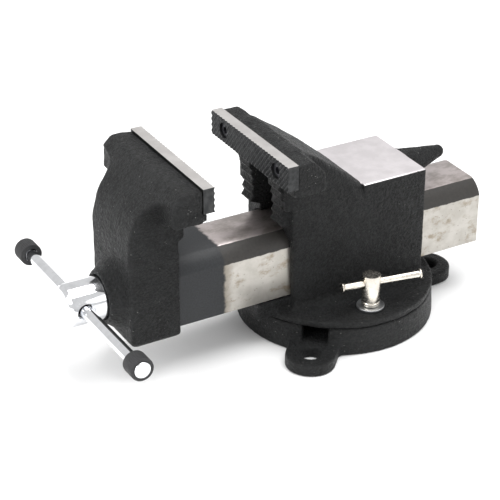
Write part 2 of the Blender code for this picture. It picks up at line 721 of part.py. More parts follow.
# ---------------------------------------------------------------- jaw plates and their screws
def jaw_plate(name, face_y, inward):
    """inward is +1 when the casting lies on the +Y side of the face."""
    back = face_y + inward * (PLATE_THICK - FIT_GAP)
    low, high = sorted((face_y, back))
    plate = box(name, (-HALF_JAW, low, PLATE_BOTTOM), (HALF_JAW, high, JAW_TOP), PLATE_STEEL)
    soften(plate, PLATE_CHAMFER)
    for side in (-1, 1):
        where = (side * PLATE_SCREW_X, JAW_TOP - PLATE_SCREW_DROP)
        sunk = SCREW_SINK + SCREW_HEAD_LEN + FIT_GAP
        hole = [
            (0, face_y - inward * OVERLAP),
            (SCREW_HEAD_R + FIT_GAP, face_y - inward * OVERLAP),
            (SCREW_HEAD_R + FIT_GAP, face_y + inward * sunk),
            (SCREW_SHANK_R + FIT_GAP, face_y + inward * sunk),
            (SCREW_SHANK_R + FIT_GAP, face_y + inward * (PLATE_THICK + OVERLAP)),
            (0, face_y + inward * (PLATE_THICK + OVERLAP)),
        ]
        cut(plate, lathe(f"{name}_hole_{side}", hole, "Y", where, steps=SMALL_STEPS))
    return shade(plate)


def plate_screw(name, side, face_y, inward):
    where = (side * PLATE_SCREW_X, JAW_TOP - PLATE_SCREW_DROP)
    top = face_y + inward * SCREW_SINK
    under = top + inward * SCREW_HEAD_LEN
    tip = face_y + inward * (PLATE_THICK + SCREW_BITE)
    outline = [
        (0, top + inward * SOCKET_DEEP),
        (SOCKET_R, top + inward * SOCKET_DEEP),
        (SOCKET_R, top),
        (SCREW_HEAD_R - FIT_GAP, top),
        (SCREW_HEAD_R, top + inward * FIT_GAP),
        (SCREW_HEAD_R, under),
        (SCREW_SHANK_R, under),
        (SCREW_SHANK_R, tip),
        (0, tip),
    ]
    return shade(lathe(name, outline, "Y", where, BLACK_STEEL, SHANK_STEPS))


# ---------------------------------------------------------------- main screw and what rides on it
def about_screw(target):
    return turned(target, (0, 0, AXIS_Z), "Y", -HANDLE_TURN)


def main_screw():
    outline = [
        (0, SPINDLE_END_Y),
        (SPINDLE_HEAD_R - SPINDLE_CHAMFER, SPINDLE_END_Y),
        (SPINDLE_HEAD_R, SPINDLE_END_Y + SPINDLE_CHAMFER),
        (SPINDLE_HEAD_R, SPINDLE_SHOULDER_Y - SPINDLE_CHAMFER / 2),
        (SPINDLE_HEAD_R - SPINDLE_CHAMFER / 2, SPINDLE_SHOULDER_Y),
        (NECK_R, SPINDLE_SHOULDER_Y),
        (NECK_R, THREAD_START_Y),
        (0, THREAD_START_Y),
    ]
    spindle = lathe("spindle", outline, "Y", (0, AXIS_Z), CHROME)
    low = THREAD_START_Y - OVERLAP
    add(spindle, thread("screw_thread", THREAD_ROOT_R, THREAD_R, 0, low, THREAD_END_Y, OVERLAP / 2))
    reach = SPINDLE_HEAD_R + OVERLAP
    rim = SPINDLE_HEAD_R * math.cos(CROSS_HOLE_RIM_R / SPINDLE_HEAD_R) - CROSS_HOLE_RIM_DEEP / 2
    hole = [
        (0, -reach),
        (CROSS_HOLE_RIM_R + OVERLAP / 2, -reach),
        (CROSS_HOLE_R, -rim),
        (CROSS_HOLE_R, rim),
        (CROSS_HOLE_RIM_R + OVERLAP / 2, reach),
        (0, reach),
    ]
    cutter = lathe("cross_hole", hole, "X", (CROSS_HOLE_Y, AXIS_Z), steps=SMALL_STEPS)
    cut(spindle, about_screw(cutter))
    cut(spindle, pin_way("pin_way"))
    return shade(spindle)


def pin_way(name):
    where = (0, COLLAR_NEAR_Y + COLLAR_LEN / 2)
    reach = COLLAR_R + BEYOND
    return rod(name, PIN_R + FIT_GAP, "Z", where, AXIS_Z - reach, AXIS_Z + reach, steps=SHANK_STEPS)


def ring(name, inner, outer, axis, centre, low, high, material, chamfer=RING_EDGE, steps=ROUND_STEPS):
    outline = [
        (inner, low),
        (outer - chamfer, low),
        (outer, low + chamfer),
        (outer, high - chamfer),
        (outer - chamfer, high),
        (inner, high),
    ]
    return shade(lathe(name, outline, axis, centre, material, steps))


def screw_trim():
    on_axis = (0, AXIS_Z)
    high = BOSS_FLOOR_Y - FIT_GAP
    inner = NECK_R + RUN_GAP
    ring("thrust_washer", inner, THRUST_WASHER_R, "Y", on_axis, high - THRUST_WASHER_THICK, high, ZINC)
    collar_end = COLLAR_NEAR_Y + COLLAR_LEN
    collar = ring("collar", NECK_R + FIT_GAP, COLLAR_R, "Y", on_axis, COLLAR_NEAR_Y, collar_end, BLACK_STEEL)
    cut(collar, pin_way("collar_pin_way"))
    where = (0, COLLAR_NEAR_Y + COLLAR_LEN / 2)
    reach = COLLAR_R - FIT_GAP
    shade(rod("collar_pin", PIN_R, "Z", where, AXIS_Z - reach, AXIS_Z + reach, ZINC, SHANK_STEPS))


def spring():
    """A coil from the column's wall to the collar, ends cut square to the wire."""
    near = CHANNEL_FRONT_Y + SPRING_WIRE_R + RUN_GAP
    far = COLLAR_NEAR_Y - SPRING_WIRE_R - RUN_GAP
    count = SPRING_TURNS * SPRING_STEPS
    rings = []
    for step in range(count + 1):
        angle = 2 * math.pi * step / SPRING_STEPS
        along = near + (far - near) * step / count
        section = []
        for corner in range(WIRE_STEPS):
            tilt = 2 * math.pi * corner / WIRE_STEPS
            radius = SPRING_R + SPRING_WIRE_R * math.cos(tilt)
            y = along + SPRING_WIRE_R * math.sin(tilt)
            section.append((radius * math.sin(angle), y, AXIS_Z + radius * math.cos(angle)))
        rings.append(section)
    return shade(loft("spring", rings, SPRING_STEEL), WIRE_SMOOTH)


def screw_nut():
    low_z = FLOOR_TOP + FIT_GAP
    far = NUT_FRONT_Y + NUT_LEN
    outline = [
        (-NUT_HALF_X, low_z),
        (NUT_HALF_X, low_z),
        (NUT_HALF_X, NUT_TOP - NUT_ARCH),
        (NUT_ARCH, NUT_TOP),
        (-NUT_ARCH, NUT_TOP),
        (-NUT_HALF_X, NUT_TOP - NUT_ARCH),
    ]
    nut = soften(prism("spindle_nut", outline, "Y", NUT_FRONT_Y, far, NUT_IRON), NUT_EDGE)
    root = THREAD_ROOT_R + THREAD_GAP
    crest = THREAD_R + THREAD_GAP
    ends = (NUT_FRONT_Y - THREAD_PITCH, far + THREAD_PITCH)
    cut(nut, thread("nut_thread", root, crest, THREAD_FLANK_GAP, ends[0], ends[1], OVERLAP / 2))
    nut_y = NUT_FRONT_Y + NUT_LEN / 2
    bore = NUT_BOLT_R + FIT_GAP
    top = NUT_BOLT_TOP + FIT_GAP
    cut(nut, rod("nut_tapping", bore, "Z", (0, nut_y), FLOOR_TOP - OVERLAP, top, steps=SMALL_STEPS))
    return shade(nut)


def nut_bolt():
    low = FLANGE_BOTTOM + 2 * FIT_GAP
    outline = [
        (0, low),
        (NUT_BOLT_HEAD_R, low),
        (NUT_BOLT_HEAD_R, low + NUT_BOLT_HEAD_LEN),
        (NUT_BOLT_R, low + NUT_BOLT_HEAD_LEN),
        (NUT_BOLT_R, NUT_BOLT_TOP),
        (0, NUT_BOLT_TOP),
    ]
    return shade(lathe("nut_bolt", outline, "Z", (0, NUT_FRONT_Y + NUT_LEN / 2), BLACK_STEEL, SHANK_STEPS))


# ---------------------------------------------------------------- handle
def handle():
    where = (CROSS_HOLE_Y, AXIS_Z)
    stop = KNOB_END_WALL + FIT_GAP
    bar = [
        (0, HANDLE_FAR_X + stop),
        (HANDLE_R - TURNED_EDGE, HANDLE_FAR_X + stop),
        (HANDLE_R, HANDLE_FAR_X + stop + TURNED_EDGE),
        (HANDLE_R, HANDLE_NEAR_X - stop - TURNED_EDGE),
        (HANDLE_R - TURNED_EDGE, HANDLE_NEAR_X - stop),
        (0, HANDLE_NEAR_X - stop),
    ]
    about_screw(shade(lathe("handle_bar", bar, "X", where, CHROME, BAR_STEPS)))
    for name, end, inward in (("near", HANDLE_NEAR_X, -1), ("far", HANDLE_FAR_X, 1)):
        inner = end + inward * KNOB_LEN
        knob = [
            (0, end),
            (KNOB_CORE_R - KNOB_EDGE, end),
            (KNOB_CORE_R, end + inward * KNOB_EDGE),
            (KNOB_CORE_R, inner),
            (HANDLE_R + FIT_GAP, inner),
            (HANDLE_R + FIT_GAP, end + inward * KNOB_END_WALL),
            (0, end + inward * KNOB_END_WALL),
        ]
        about_screw(shade(lathe(f"handle_knob_{name}", knob, "X", where, CHROME, BAR_STEPS)))
        start = end + inward * BUMPER_SET
        mouth = start + inward * BUMPER_LEN
        step = inner + inward * FIT_GAP
        bore = KNOB_CORE_R + FIT_GAP
        sleeve = [
            (bore, start),
            (BUMPER_R - BUMPER_CHAMFER, start),
            (BUMPER_R, start + inward * BUMPER_CHAMFER),
            (BUMPER_R, mouth - inward * BUMPER_CHAMFER),
            (BUMPER_R - BUMPER_CHAMFER, mouth),
            (BUMPER_MOUTH_R, mouth),
            (BUMPER_MOUTH_R, step),
            (bore, step),
        ]
        about_screw(shade(lathe(f"handle_bumper_{name}", sleeve, "X", where, RUBBER, WASHER_STEPS)))


# ---------------------------------------------------------------- lock bolts
def lock_set(name, side):
    where = (side * LOCK_X, LOCK_Y)
    washer_low = FLANGE_TOP + FIT_GAP
    washer_high = washer_low + LOCK_WASHER_THICK
    bore = LOCK_SHANK_R + RUN_GAP
    trim = (ZINC, RING_EDGE, WASHER_STEPS)
    ring(f"lock_washer_{name}", bore, LOCK_WASHER_R, "Z", where, washer_low, washer_high, *trim)
    outline = [
        (0, LOCK_SHANK_BOTTOM),
        (LOCK_SHANK_R, LOCK_SHANK_BOTTOM),
        (LOCK_SHANK_R, LOCK_HEAD_BOTTOM),
        (LOCK_HEAD_R - TURNED_EDGE, LOCK_HEAD_BOTTOM),
        (LOCK_HEAD_R, LOCK_HEAD_BOTTOM + TURNED_EDGE),
        (LOCK_HEAD_R, LOCK_GROOVE_Z - TURNED_EDGE),
        (LOCK_HEAD_R - LOCK_GROOVE_DEEP, LOCK_GROOVE_Z),
        (LOCK_HEAD_R, LOCK_GROOVE_Z + TURNED_EDGE),
        (LOCK_HEAD_R, LOCK_HEAD_TOP - KNOB_EDGE),
        (LOCK_HEAD_R - KNOB_EDGE, LOCK_HEAD_TOP),
        (0, LOCK_HEAD_TOP),
    ]
    bolt = lathe(f"lock_bolt_{name}", outline, "Z", where, NICKEL, BAR_STEPS)
    near = LOCK_Y - LOCK_HEAD_R - OVERLAP
    far = LOCK_Y + LOCK_HEAD_R + OVERLAP
    way = rod(f"tbar_way_{name}", TBAR_HOLE_R, "Y", (where[0], TBAR_Z), near, far, steps=SMALL_STEPS)
    pivot = (where[0], LOCK_Y, TBAR_Z)
    cut(bolt, turned(way, pivot, "Z", -side * TBAR_TURN))
    shade(bolt)
    low = LOCK_Y - TBAR_FRONT
    high = LOCK_Y + TBAR_REAR
    bar = [
        (0, low),
        (TBAR_FLARE_R, low),
        (TBAR_FLARE_R, low + TBAR_FLARE_LEN / 2),
        (TBAR_R, low + TBAR_FLARE_LEN),
        (TBAR_R, high - TBAR_FLARE_LEN),
        (TBAR_FLARE_R, high - TBAR_FLARE_LEN / 2),
        (TBAR_FLARE_R, high),
        (0, high),
    ]
    tbar = lathe(f"lock_tbar_{name}", bar, "Y", (where[0], TBAR_Z), NICKEL, SMALL_STEPS)
    shade(turned(tbar, pivot, "Z", -side * TBAR_TURN))
    low_corner = (where[0] - LOCK_NUT_HALF, LOCK_Y - LOCK_NUT_HALF, LOCK_NUT_BOTTOM)
    high_corner = (where[0] + LOCK_NUT_HALF, LOCK_Y + LOCK_NUT_HALF, LOCK_NUT_TOP)
    nut = soften(box(f"lock_nut_{name}", low_corner, high_corner, BLACK_STEEL), LOCK_NUT_EDGE)
    tapping = LOCK_SHANK_R + FIT_GAP
    cut(nut, rod(f"lock_nut_bore_{name}", tapping, "Z", where, 0, FLANGE_TOP, steps=SMALL_STEPS))
    return shade(nut)


# ---------------------------------------------------------------- swivel base
def lug_outline():
    """A lug along +X: straight sides, a round end, and a hollow curve into the ring on each side."""
    centre_v = LUG_R + LUG_FILLET
    centre_u = math.sqrt((BASE_R + LUG_FILLET) ** 2 - centre_v**2)
    first = math.atan2(-centre_v, -centre_u) + 2 * math.pi
    side = [(LUG_INSIDE, centre_v * LUG_INSIDE / centre_u)]
    for step in range(4):
        tilt = first + (1.5 * math.pi - first) * step / 3
        side.append((centre_u + LUG_FILLET * math.cos(tilt), centre_v + LUG_FILLET * math.sin(tilt)))
    end = []
    for step in range(1, LUG_STEPS):
        tilt = math.pi * (0.5 - step / LUG_STEPS)
        end.append((LUG_OUT + LUG_R * math.cos(tilt), LUG_R * math.sin(tilt)))
    return side + [(LUG_OUT, LUG_R)] + end + [(LUG_OUT, -LUG_R)] + [(u, -v) for u, v in reversed(side)]


def base_casting():
    ring_section = [
        (BASE_R, 0),
        (BASE_R, OVERLAP),
        (BASE_TOP_R, BASE_TOP - KNOB_EDGE),
        (BASE_TOP_R - KNOB_EDGE, BASE_TOP),
        (BASE_SLOT_OUT_R, BASE_TOP),
        (BASE_SLOT_OUT_R, DECK_UNDER),
        (CHANNEL_OUT_R, DECK_UNDER),
        (CHANNEL_OUT_R, CHANNEL_FLOOR),
        (CHANNEL_IN_R, CHANNEL_FLOOR),
        (CHANNEL_IN_R, DECK_UNDER),
        (BASE_SLOT_IN_R, DECK_UNDER),
        (BASE_SLOT_IN_R, BASE_TOP),
        (PIVOT_R + RUN_GAP, BASE_TOP),
        (PIVOT_R + RUN_GAP, PIVOT_RECESS_DEEP),
        (PIVOT_RECESS_R, PIVOT_RECESS_DEEP),
        (PIVOT_RECESS_R, 0),
        (HOLLOW_IN_R, 0),
        (HOLLOW_IN_R, HOLLOW_TOP),
        (HOLLOW_OUT_R, HOLLOW_TOP),
        (HOLLOW_OUT_R, 0),
    ]
    base = lathe("swivel_base", ring_section, "Z", (0, 0), CAST_BASE, FLANGE_STEPS)
    for number, degrees in enumerate(LUG_ANGLES):
        angle = math.radians(degrees) + LUG_TURN
        lug = soften(prism(f"lug_{number}", lug_outline(), "Z", 0, LUG_TOP), LUG_EDGE)
        add(base, turned(lug, (0, 0, 0), "Z", angle))
    for number, degrees in enumerate(LUG_ANGLES):
        angle = math.radians(degrees) + LUG_TURN
        slot = []
        for step in range(LUG_HOLE_STEPS):
            tilt = 2 * math.pi * step / LUG_HOLE_STEPS
            stretch = math.copysign(LUG_HOLE_STRETCH, math.cos(tilt))
            out = LUG_OUT + stretch + LUG_HOLE_HALF * math.cos(tilt)
            slot.append((out, LUG_HOLE_HALF * math.sin(tilt)))
        hole = prism(f"lug_hole_{number}", slot, "Z", -BEYOND, LUG_TOP + BEYOND)
        cut(base, turned(hole, (0, 0, 0), "Z", angle))
    low_corner = (WINDOW_IN_R, -WINDOW_HALF, CHANNEL_FLOOR + FIT_GAP)
    window = box("nut_window", low_corner, (BASE_R + BEYOND, WINDOW_HALF, BASE_TOP + BEYOND))
    cut(base, turned(window, (0, 0, 0), "Z", math.radians(LUG_ANGLES[0]) + LUG_TURN))
    return shade(base)


def pivot():
    top_of_head = PIVOT_RECESS_DEEP - PIVOT_WASHER_THICK - 2 * FIT_GAP
    outline = [
        (0, top_of_head - PIVOT_HEAD_LEN),
        (PIVOT_HEAD_R - KNOB_EDGE, top_of_head - PIVOT_HEAD_LEN),
        (PIVOT_HEAD_R, top_of_head - PIVOT_HEAD_LEN + KNOB_EDGE),
        (PIVOT_HEAD_R, top_of_head),
        (PIVOT_R, top_of_head),
        (PIVOT_R, PIVOT_TOP - KNOB_EDGE),
        (PIVOT_R - KNOB_EDGE, PIVOT_TOP),
        (0, PIVOT_TOP),
    ]
    shade(lathe("pivot_bolt", outline, "Z", (0, 0), BLACK_STEEL, SMALL_STEPS))
    low = top_of_head + FIT_GAP
    outer = PIVOT_RECESS_R - PIVOT_WASHER_PLAY
    trim = (ZINC, RING_EDGE, WASHER_STEPS)
    ring("pivot_washer", PIVOT_R + FIT_GAP, outer, "Z", (0, 0), low, low + PIVOT_WASHER_THICK, *trim)


base_casting()
pivot()
body_casting()
jaw_casting()
jaw_plate("fixed_jaw_plate", FIXED_FACE_Y, 1)
jaw_plate("movable_jaw_plate", MOVABLE_FACE_Y, -1)
for label, side in (("near", 1), ("far", -1)):
    plate_screw(f"fixed_plate_screw_{label}", side, FIXED_FACE_Y, 1)
    plate_screw(f"movable_plate_screw_{label}", side, MOVABLE_FACE_Y, -1)
    lock_set(label, side)
main_screw()
screw_trim()
spring()
screw_nut()
nut_bolt()
handle()


# ---------------------------------------------------------------- joints
def carrier(name, place, children, parent=None):
    """An empty on a joint's axis. The pieces that move with the joint hang from it."""
    made = bpy.data.objects.new(name, None)
    made.empty_display_size = CARRIER_SIZE
    bpy.context.scene.collection.objects.link(made)
    made.location = place
    hang(made, parent)
    for child in children:
        hang(bpy.data.objects[child], made)
    return made


def hang(piece, parent):
    """Parents a piece and leaves it where it is in the world."""
    if parent is None:
        return
    piece.parent = parent
    bpy.context.view_layer.update()
    piece.matrix_parent_inverse = parent.matrix_world.inverted()


body_pieces = ["vise_body", "fixed_jaw_plate", "spindle_nut", "nut_bolt"]
jaw_pieces = ["movable_jaw", "movable_jaw_plate"]
handle_pieces = ["handle_bar"]
for label in ("near", "far"):
    body_pieces += [f"fixed_plate_screw_{label}", f"lock_washer_{label}", f"lock_nut_{label}"]
    jaw_pieces.append(f"movable_plate_screw_{label}")
    handle_pieces += [f"handle_knob_{label}", f"handle_bumper_{label}"]
screw_pieces = ["spindle", "thrust_washer", "collar", "collar_pin", "spring"]
carrier("base_carrier", (0, 0, 0), ["swivel_base", "pivot_bolt", "pivot_washer"])
swivel = carrier("swivel_axis", (0, 0, BASE_TOP), body_pieces)
slide = carrier("slide_axis", (0, MOVABLE_SEAT_Y, AXIS_Z), jaw_pieces, swivel)
turn = carrier("screw_axis", (0, COLUMN_FRONT_Y, AXIS_Z), screw_pieces, slide)
carrier("handle_axis", (0, CROSS_HOLE_Y, AXIS_Z), handle_pieces, turn)
for label, side in (("near", 1), ("far", -1)):
    foot = (side * LOCK_X, LOCK_Y, LOCK_HEAD_BOTTOM)
    bolt_axis = carrier(f"lock_axis_{label}", foot, [f"lock_bolt_{label}"], swivel)
    middle = (side * LOCK_X, LOCK_Y, TBAR_Z)
    carrier(f"tbar_axis_{label}", middle, [f"lock_tbar_{label}"], bolt_axis)
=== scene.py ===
"""A bench vise on a swivel base: castings, ground steel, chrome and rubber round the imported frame."""

import math

import bmesh
import bpy
import numpy as np
from mathutils import Matrix, Vector


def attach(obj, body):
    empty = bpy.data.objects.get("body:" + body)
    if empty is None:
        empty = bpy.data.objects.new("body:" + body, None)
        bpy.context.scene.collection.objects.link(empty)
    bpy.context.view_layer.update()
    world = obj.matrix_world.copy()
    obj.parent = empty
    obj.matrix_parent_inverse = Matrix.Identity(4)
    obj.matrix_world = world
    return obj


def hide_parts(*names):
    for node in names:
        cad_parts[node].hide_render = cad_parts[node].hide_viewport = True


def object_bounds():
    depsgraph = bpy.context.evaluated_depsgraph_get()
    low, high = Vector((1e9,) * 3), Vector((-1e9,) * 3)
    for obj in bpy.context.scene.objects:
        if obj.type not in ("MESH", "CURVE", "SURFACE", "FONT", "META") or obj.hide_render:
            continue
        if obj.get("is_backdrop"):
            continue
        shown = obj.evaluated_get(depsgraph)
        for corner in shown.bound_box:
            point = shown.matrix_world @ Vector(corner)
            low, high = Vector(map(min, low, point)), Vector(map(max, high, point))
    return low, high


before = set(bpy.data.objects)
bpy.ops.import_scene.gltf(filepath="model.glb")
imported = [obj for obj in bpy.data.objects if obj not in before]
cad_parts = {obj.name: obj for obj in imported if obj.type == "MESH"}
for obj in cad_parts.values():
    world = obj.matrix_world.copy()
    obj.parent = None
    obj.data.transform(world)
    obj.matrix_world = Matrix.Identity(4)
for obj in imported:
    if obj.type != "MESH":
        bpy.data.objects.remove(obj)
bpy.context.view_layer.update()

MM = 0.001
FULL_TURN = 2 * math.pi

# Sizes and places are in millimetres from here on.
JAW_HALF = 75  # half the width of the jaws
HEAD_TOP = 211.5
HEAD_UNDER = 180
BODY_HALF = 46
ANVIL_TOP = 157
COLUMN_HALF = 42  # half the width of the movable jaw below its head
BOSS_RIM_Y = -264.3
FIXED_FACE_Y = -102
MOVABLE_FACE_Y = -178
PLATE_BOTTOM = 187.7
PLATE_HIGH = 25.3
PLATE_THICK = 12
PLATE_SCREW_X = 51
PLATE_SCREW_Z = 200
PLATE_COLUMNS = 57  # half steps of the hatching across a plate
PLATE_ROWS = 8
HATCH_DEEP = 1.15
SLIDE_HALF = 37.3
SLIDE_SHOULDER = 106
SLIDE_TOP = 119.9
SLIDE_TOP_HALF = 22.2
SLIDE_BOTTOM = 51
SLIDE_FRONT_Y = -214
SLIDE_REAR_Y = 151
CHANNEL_HALF = 20
CHANNEL_TOP = 104
PIPE_LOW = 133  # where the teeth of the pipe jaws start
PIPE_TALL = 47.5
PIPE_TEETH = 5
TOOTH_DEEP = 2.8
FLANGE_R = 100
FLANGE_BOTTOM = 29.5
BASE_R = 101.2
BASE_TOP = 29
LUG_OUT = 118
LUG_R = 25
LUG_TOP = 13
SCREW_Z = 84.0  # height of the main screw's axis
BAR_Y = -286.5  # where the handle bar crosses the screw's head
BAR_TILT = math.radians(1.5)
HANDLE_ENDS = (("near", 140.0, -1), ("far", -130.0, 1))
LOCK_X = 75.5
LOCK_Y = -5
LOCK_BAR_Z = 64.5
LOCK_BAR_TURN = math.radians(9.6)
KEPT_FACES = 0.36  # share of a casting's faces left after thinning


# ---------------------------------------------------------------- castings as distance fields
def smooth_min(a, b, reach):
    """The union of two shapes, with a hollow fillet where they meet."""
    share = np.clip(0.5 + 0.5 * (b - a) / reach, 0, 1)
    return b + (a - b) * share - reach * share * (1 - share)


def smooth_max(a, b, reach):
    """What two shapes share, with a rounded edge where they meet."""
    return -smooth_min(-a, -b, reach)


def between(value, low, high):
    """Negative where the value lies from low to high."""
    return np.maximum(low - value, value - high)


def block(x, y, z, low, high, rounding=0.0):
    """A box with rounded edges."""
    beyond = [
        np.abs(value - (a + b) / 2) - (b - a) / 2 + rounding
        for value, a, b in zip((x, y, z), low, high)
    ]
    out = np.sqrt(sum(np.maximum(side, 0) ** 2 for side in beyond))
    inside = np.minimum(np.maximum(np.maximum(beyond[0], beyond[1]), beyond[2]), 0)
    return out + inside - rounding


def disc(across, along, radius, low, high, rounding=0.0):
    """A round bar from low to high with rounded rims."""
    u = across - radius + rounding
    v = np.abs(along - (low + high) / 2) - (high - low) / 2 + rounding
    return np.hypot(np.maximum(u, 0), np.maximum(v, 0)) + np.minimum(np.maximum(u, v), 0) - rounding


def hollow_curve(a, z, wide, low):
    """The curve from under a wide head down to the narrower casting: outside a quarter ellipse."""
    u = np.maximum(JAW_HALF - a, 0) / (JAW_HALF - wide)
    v = np.maximum(z - low, 0) / (HEAD_UNDER - low)
    size = np.maximum(np.hypot(u, v), 1e-3)
    steep = np.hypot(u / (JAW_HALF - wide), v / (HEAD_UNDER - low)) / size
    return (1 - size) / np.maximum(steep, 0.01)


def pipe_face(z):
    """How far a pipe jaw's toothed face lies behind its flat line, and the height of its teeth."""
    share = (z - PIPE_LOW) / PIPE_TALL * PIPE_TEETH
    saw = 1 - np.abs(2 * (share - np.floor(share)) - 1)
    return 5.5 * (1 - ((z - 147) / 30) ** 2) + TOOTH_DEEP * saw


def pipe_cheek(depth, a, z):
    """One pair of pipe jaws, depth behind their toothed face."""
    return smooth_max(depth * 0.86, np.abs(a - 29) - 11, 1.6)


def body_neck(a, y, z):
    """The narrow casting under the fixed head, whose top slopes down to the anvil."""
    front = (-79.5 + (182 - z) * (5 / 151) - y) * np.ones_like(a)
    run = np.clip((y + 71) / 74, 0, 1.3)
    fall = 53.7 / 74 * 1.15 * np.maximum(run, 1e-3) ** 0.15
    slope = (z - 210.7 + 53.7 * run**1.15) / np.sqrt(1 + fall**2 * (run > 0))
    neck = smooth_max(a - BODY_HALF, slope, 5 + 9 * np.clip(run, 0, 1) ** 2)
    neck = smooth_max(smooth_max(neck, y - 12, 2), front, 4)
    return np.maximum(neck, 31 - z)


def fixed_head(x, y, z):
    head = block(x, y, z, (-JAW_HALF, -90, HEAD_UNDER), (JAW_HALF, -59.5, HEAD_TOP), 2.2)
    head = smooth_max(head, ((y + 71.5) * 13.5 + (z - HEAD_TOP) * 12) / 18.06, 2.4)
    return smooth_max(head, ((y + 65.5) * 3 - (z - HEAD_UNDER) * 6) / 6.71, 2)


def horn(x, y, z):
    """A round cone from the body's rear, blunt at its tip."""
    root_y, root_z, long, rise = 60, 139.5, 60.5, 7.5
    along = np.clip(((y - root_y) * long + (z - root_z) * rise) / (long**2 + rise**2), 0, 1)
    gap = np.sqrt(x**2 + (y - root_y - long * along) ** 2 + (z - root_z - rise * along) ** 2)
    return gap - 21.5 + 14.9 * along


def slide_tunnel(a, z):
    """The way through the body for the slide bar, with swollen upper corners."""
    tunnel = np.maximum(a - 37.8, between(z, 50.3, 120.4))
    share = np.clip(((37.8 - a) * 15.35 + (z - 106.25) * 14.15) / 435.8, 0, 1)
    corner = ((a - 37.8) * 14.15 + (z - 106.25) * 15.35) / 20.88 - 8.8 * share * (1 - share)
    return np.maximum(tunnel, corner)


def body_shape(x, y, z):
    """The vise body: neck, head, pipe jaws, anvil, horn, swivel flange and toe."""
    a = np.abs(x)
    neck = body_neck(a, y, z)
    anvil = block(x, y, z, (-BODY_HALF, 2.6, 20), (BODY_HALF, 76, ANVIL_TOP), 1.9)
    lip = block(x, y, z, (-JAW_HALF, -94, HEAD_UNDER), (JAW_HALF, -80, 187.4), 1.2)
    web = smooth_max(hollow_curve(a, z, BODY_HALF, 162), between(y, -86, -61.5), 2.5)
    web = np.maximum(np.maximum(web, between(z, 150, 184)), a - 74)
    cheek = pipe_cheek(-90 - TOOTH_DEEP + pipe_face(z) - y, a, z)
    cheek = np.maximum(np.maximum(cheek, between(z, 127.5, 180.5)), y + 70)
    cheek = np.maximum(cheek, (127.5 - z + (y + 75.5) * -0.38) * 0.93)
    head = smooth_min(smooth_min(fixed_head(x, y, z), web, 5), lip, 1)
    shape = np.minimum(smooth_min(neck, head, 5), anvil)
    shape = smooth_min(shape, cheek, 1.5)
    flange = disc(np.hypot(x, y), z, FLANGE_R, FLANGE_BOTTOM, 37, 2.0)
    shape = smooth_min(shape, flange, 10)
    toe = block(x, y, z, (-38, -112, 31.3), (38, 0, 49.5), 2.2)
    shape = smooth_min(shape, toe, 3)
    shape = smooth_min(shape, horn(x, y, z), 2.5)
    shape = np.maximum(shape, FLANGE_BOTTOM - z)
    shape = np.maximum(shape, np.where(y > 1, z - ANVIL_TOP, -9.0))
    shape = smooth_max(shape, -slide_tunnel(a, z), 1.2)
    throat = block(x, y, z, (-18, -112, 92), (18, -45, 172), 1)
    shape = smooth_max(shape, -throat, 2)
    pivot = disc(np.hypot(x, y), z, 10.6, 0, 46)
    bolt = np.maximum(np.hypot(a - LOCK_X, y - LOCK_Y) - 5.5, z - 45)
    return np.maximum(shape, -np.minimum(pivot, bolt))


def jaw_column(a, y, z):
    """The movable jaw below its head, curved in front and flared at its sides, and the head's bevel."""
    rise = np.clip((z - 142) / 62, 0, 59 / 62)
    steep = np.where(z < 201, 43 / 62 * rise / np.sqrt(1 - rise**2), 0)
    front = (-250.5 + 43 * (1 - np.sqrt(1 - rise**2)) - y) / np.sqrt(1 + steep**2)
    bevel = (-(y + 220.7) * 10.5 + (z - 201) * 10.7) / 15
    front = smooth_max(front, bevel, 2.5)
    flare = np.clip((z - 175) / 28, 0, 0.985)
    grow = 33 / 28 * flare / np.sqrt(1 - flare**2)
    side = (a - COLUMN_HALF - 33 * (1 - np.sqrt(1 - flare**2))) / np.sqrt(1 + grow**2)
    column = smooth_max(smooth_max(side, front, 5), y + 199, 2.5)
    return smooth_max(column, 43 - z, 6), bevel


def jaw_shape(x, y, z):
    """The movable jaw: column, head, pipe jaws, and the boss round the main screw."""
    a = np.abs(x)
    column, bevel = jaw_column(a, y, z)
    head = block(x, y, z, (-JAW_HALF, -220.5, HEAD_UNDER), (JAW_HALF, -190, HEAD_TOP), 2.6)
    head = smooth_max(head, bevel, 3)
    lip = block(x, y, z, (-JAW_HALF, -200, HEAD_UNDER), (JAW_HALF, -186, 187.4), 1.2)
    web = smooth_max(hollow_curve(a, z, COLUMN_HALF, 162), between(y, -217, -193), 3)
    web = np.maximum(np.maximum(web, between(z, 150, 184)), a - 74)
    cheek = pipe_cheek(y + 193.5 + pipe_face(z), a, z)
    cheek = np.maximum(np.maximum(cheek, between(z, 127.5, 180.5)), -210 - y)
    shape = smooth_min(smooth_min(column, web, 6), smooth_min(head, lip, 1), 6)
    shape = smooth_max(smooth_min(shape, cheek, 1.5), z - HEAD_TOP, 2.2)
    radius = np.hypot(x, z - SCREW_Z)
    share = np.clip((y - BOSS_RIM_Y) / 13.8, 0, 1)
    boss = (radius - 26.2 - 10 * share**1.35) * 0.8
    boss = smooth_max(np.maximum(boss, y + 240), BOSS_RIM_Y - y, 2)
    shape = smooth_min(shape, boss, 3)
    shape = smooth_max(shape, -np.maximum(radius - 22.5, y + 250), 1.3)
    shape = np.maximum(shape, 12.9 - radius)
    channel = np.maximum(a - CHANNEL_HALF, np.maximum(z - CHANNEL_TOP, -225 - y))
    return smooth_max(shape, -channel, 1.2)


LUG_TURNS = [math.radians(angle) for angle in (-43, 92, 227)]


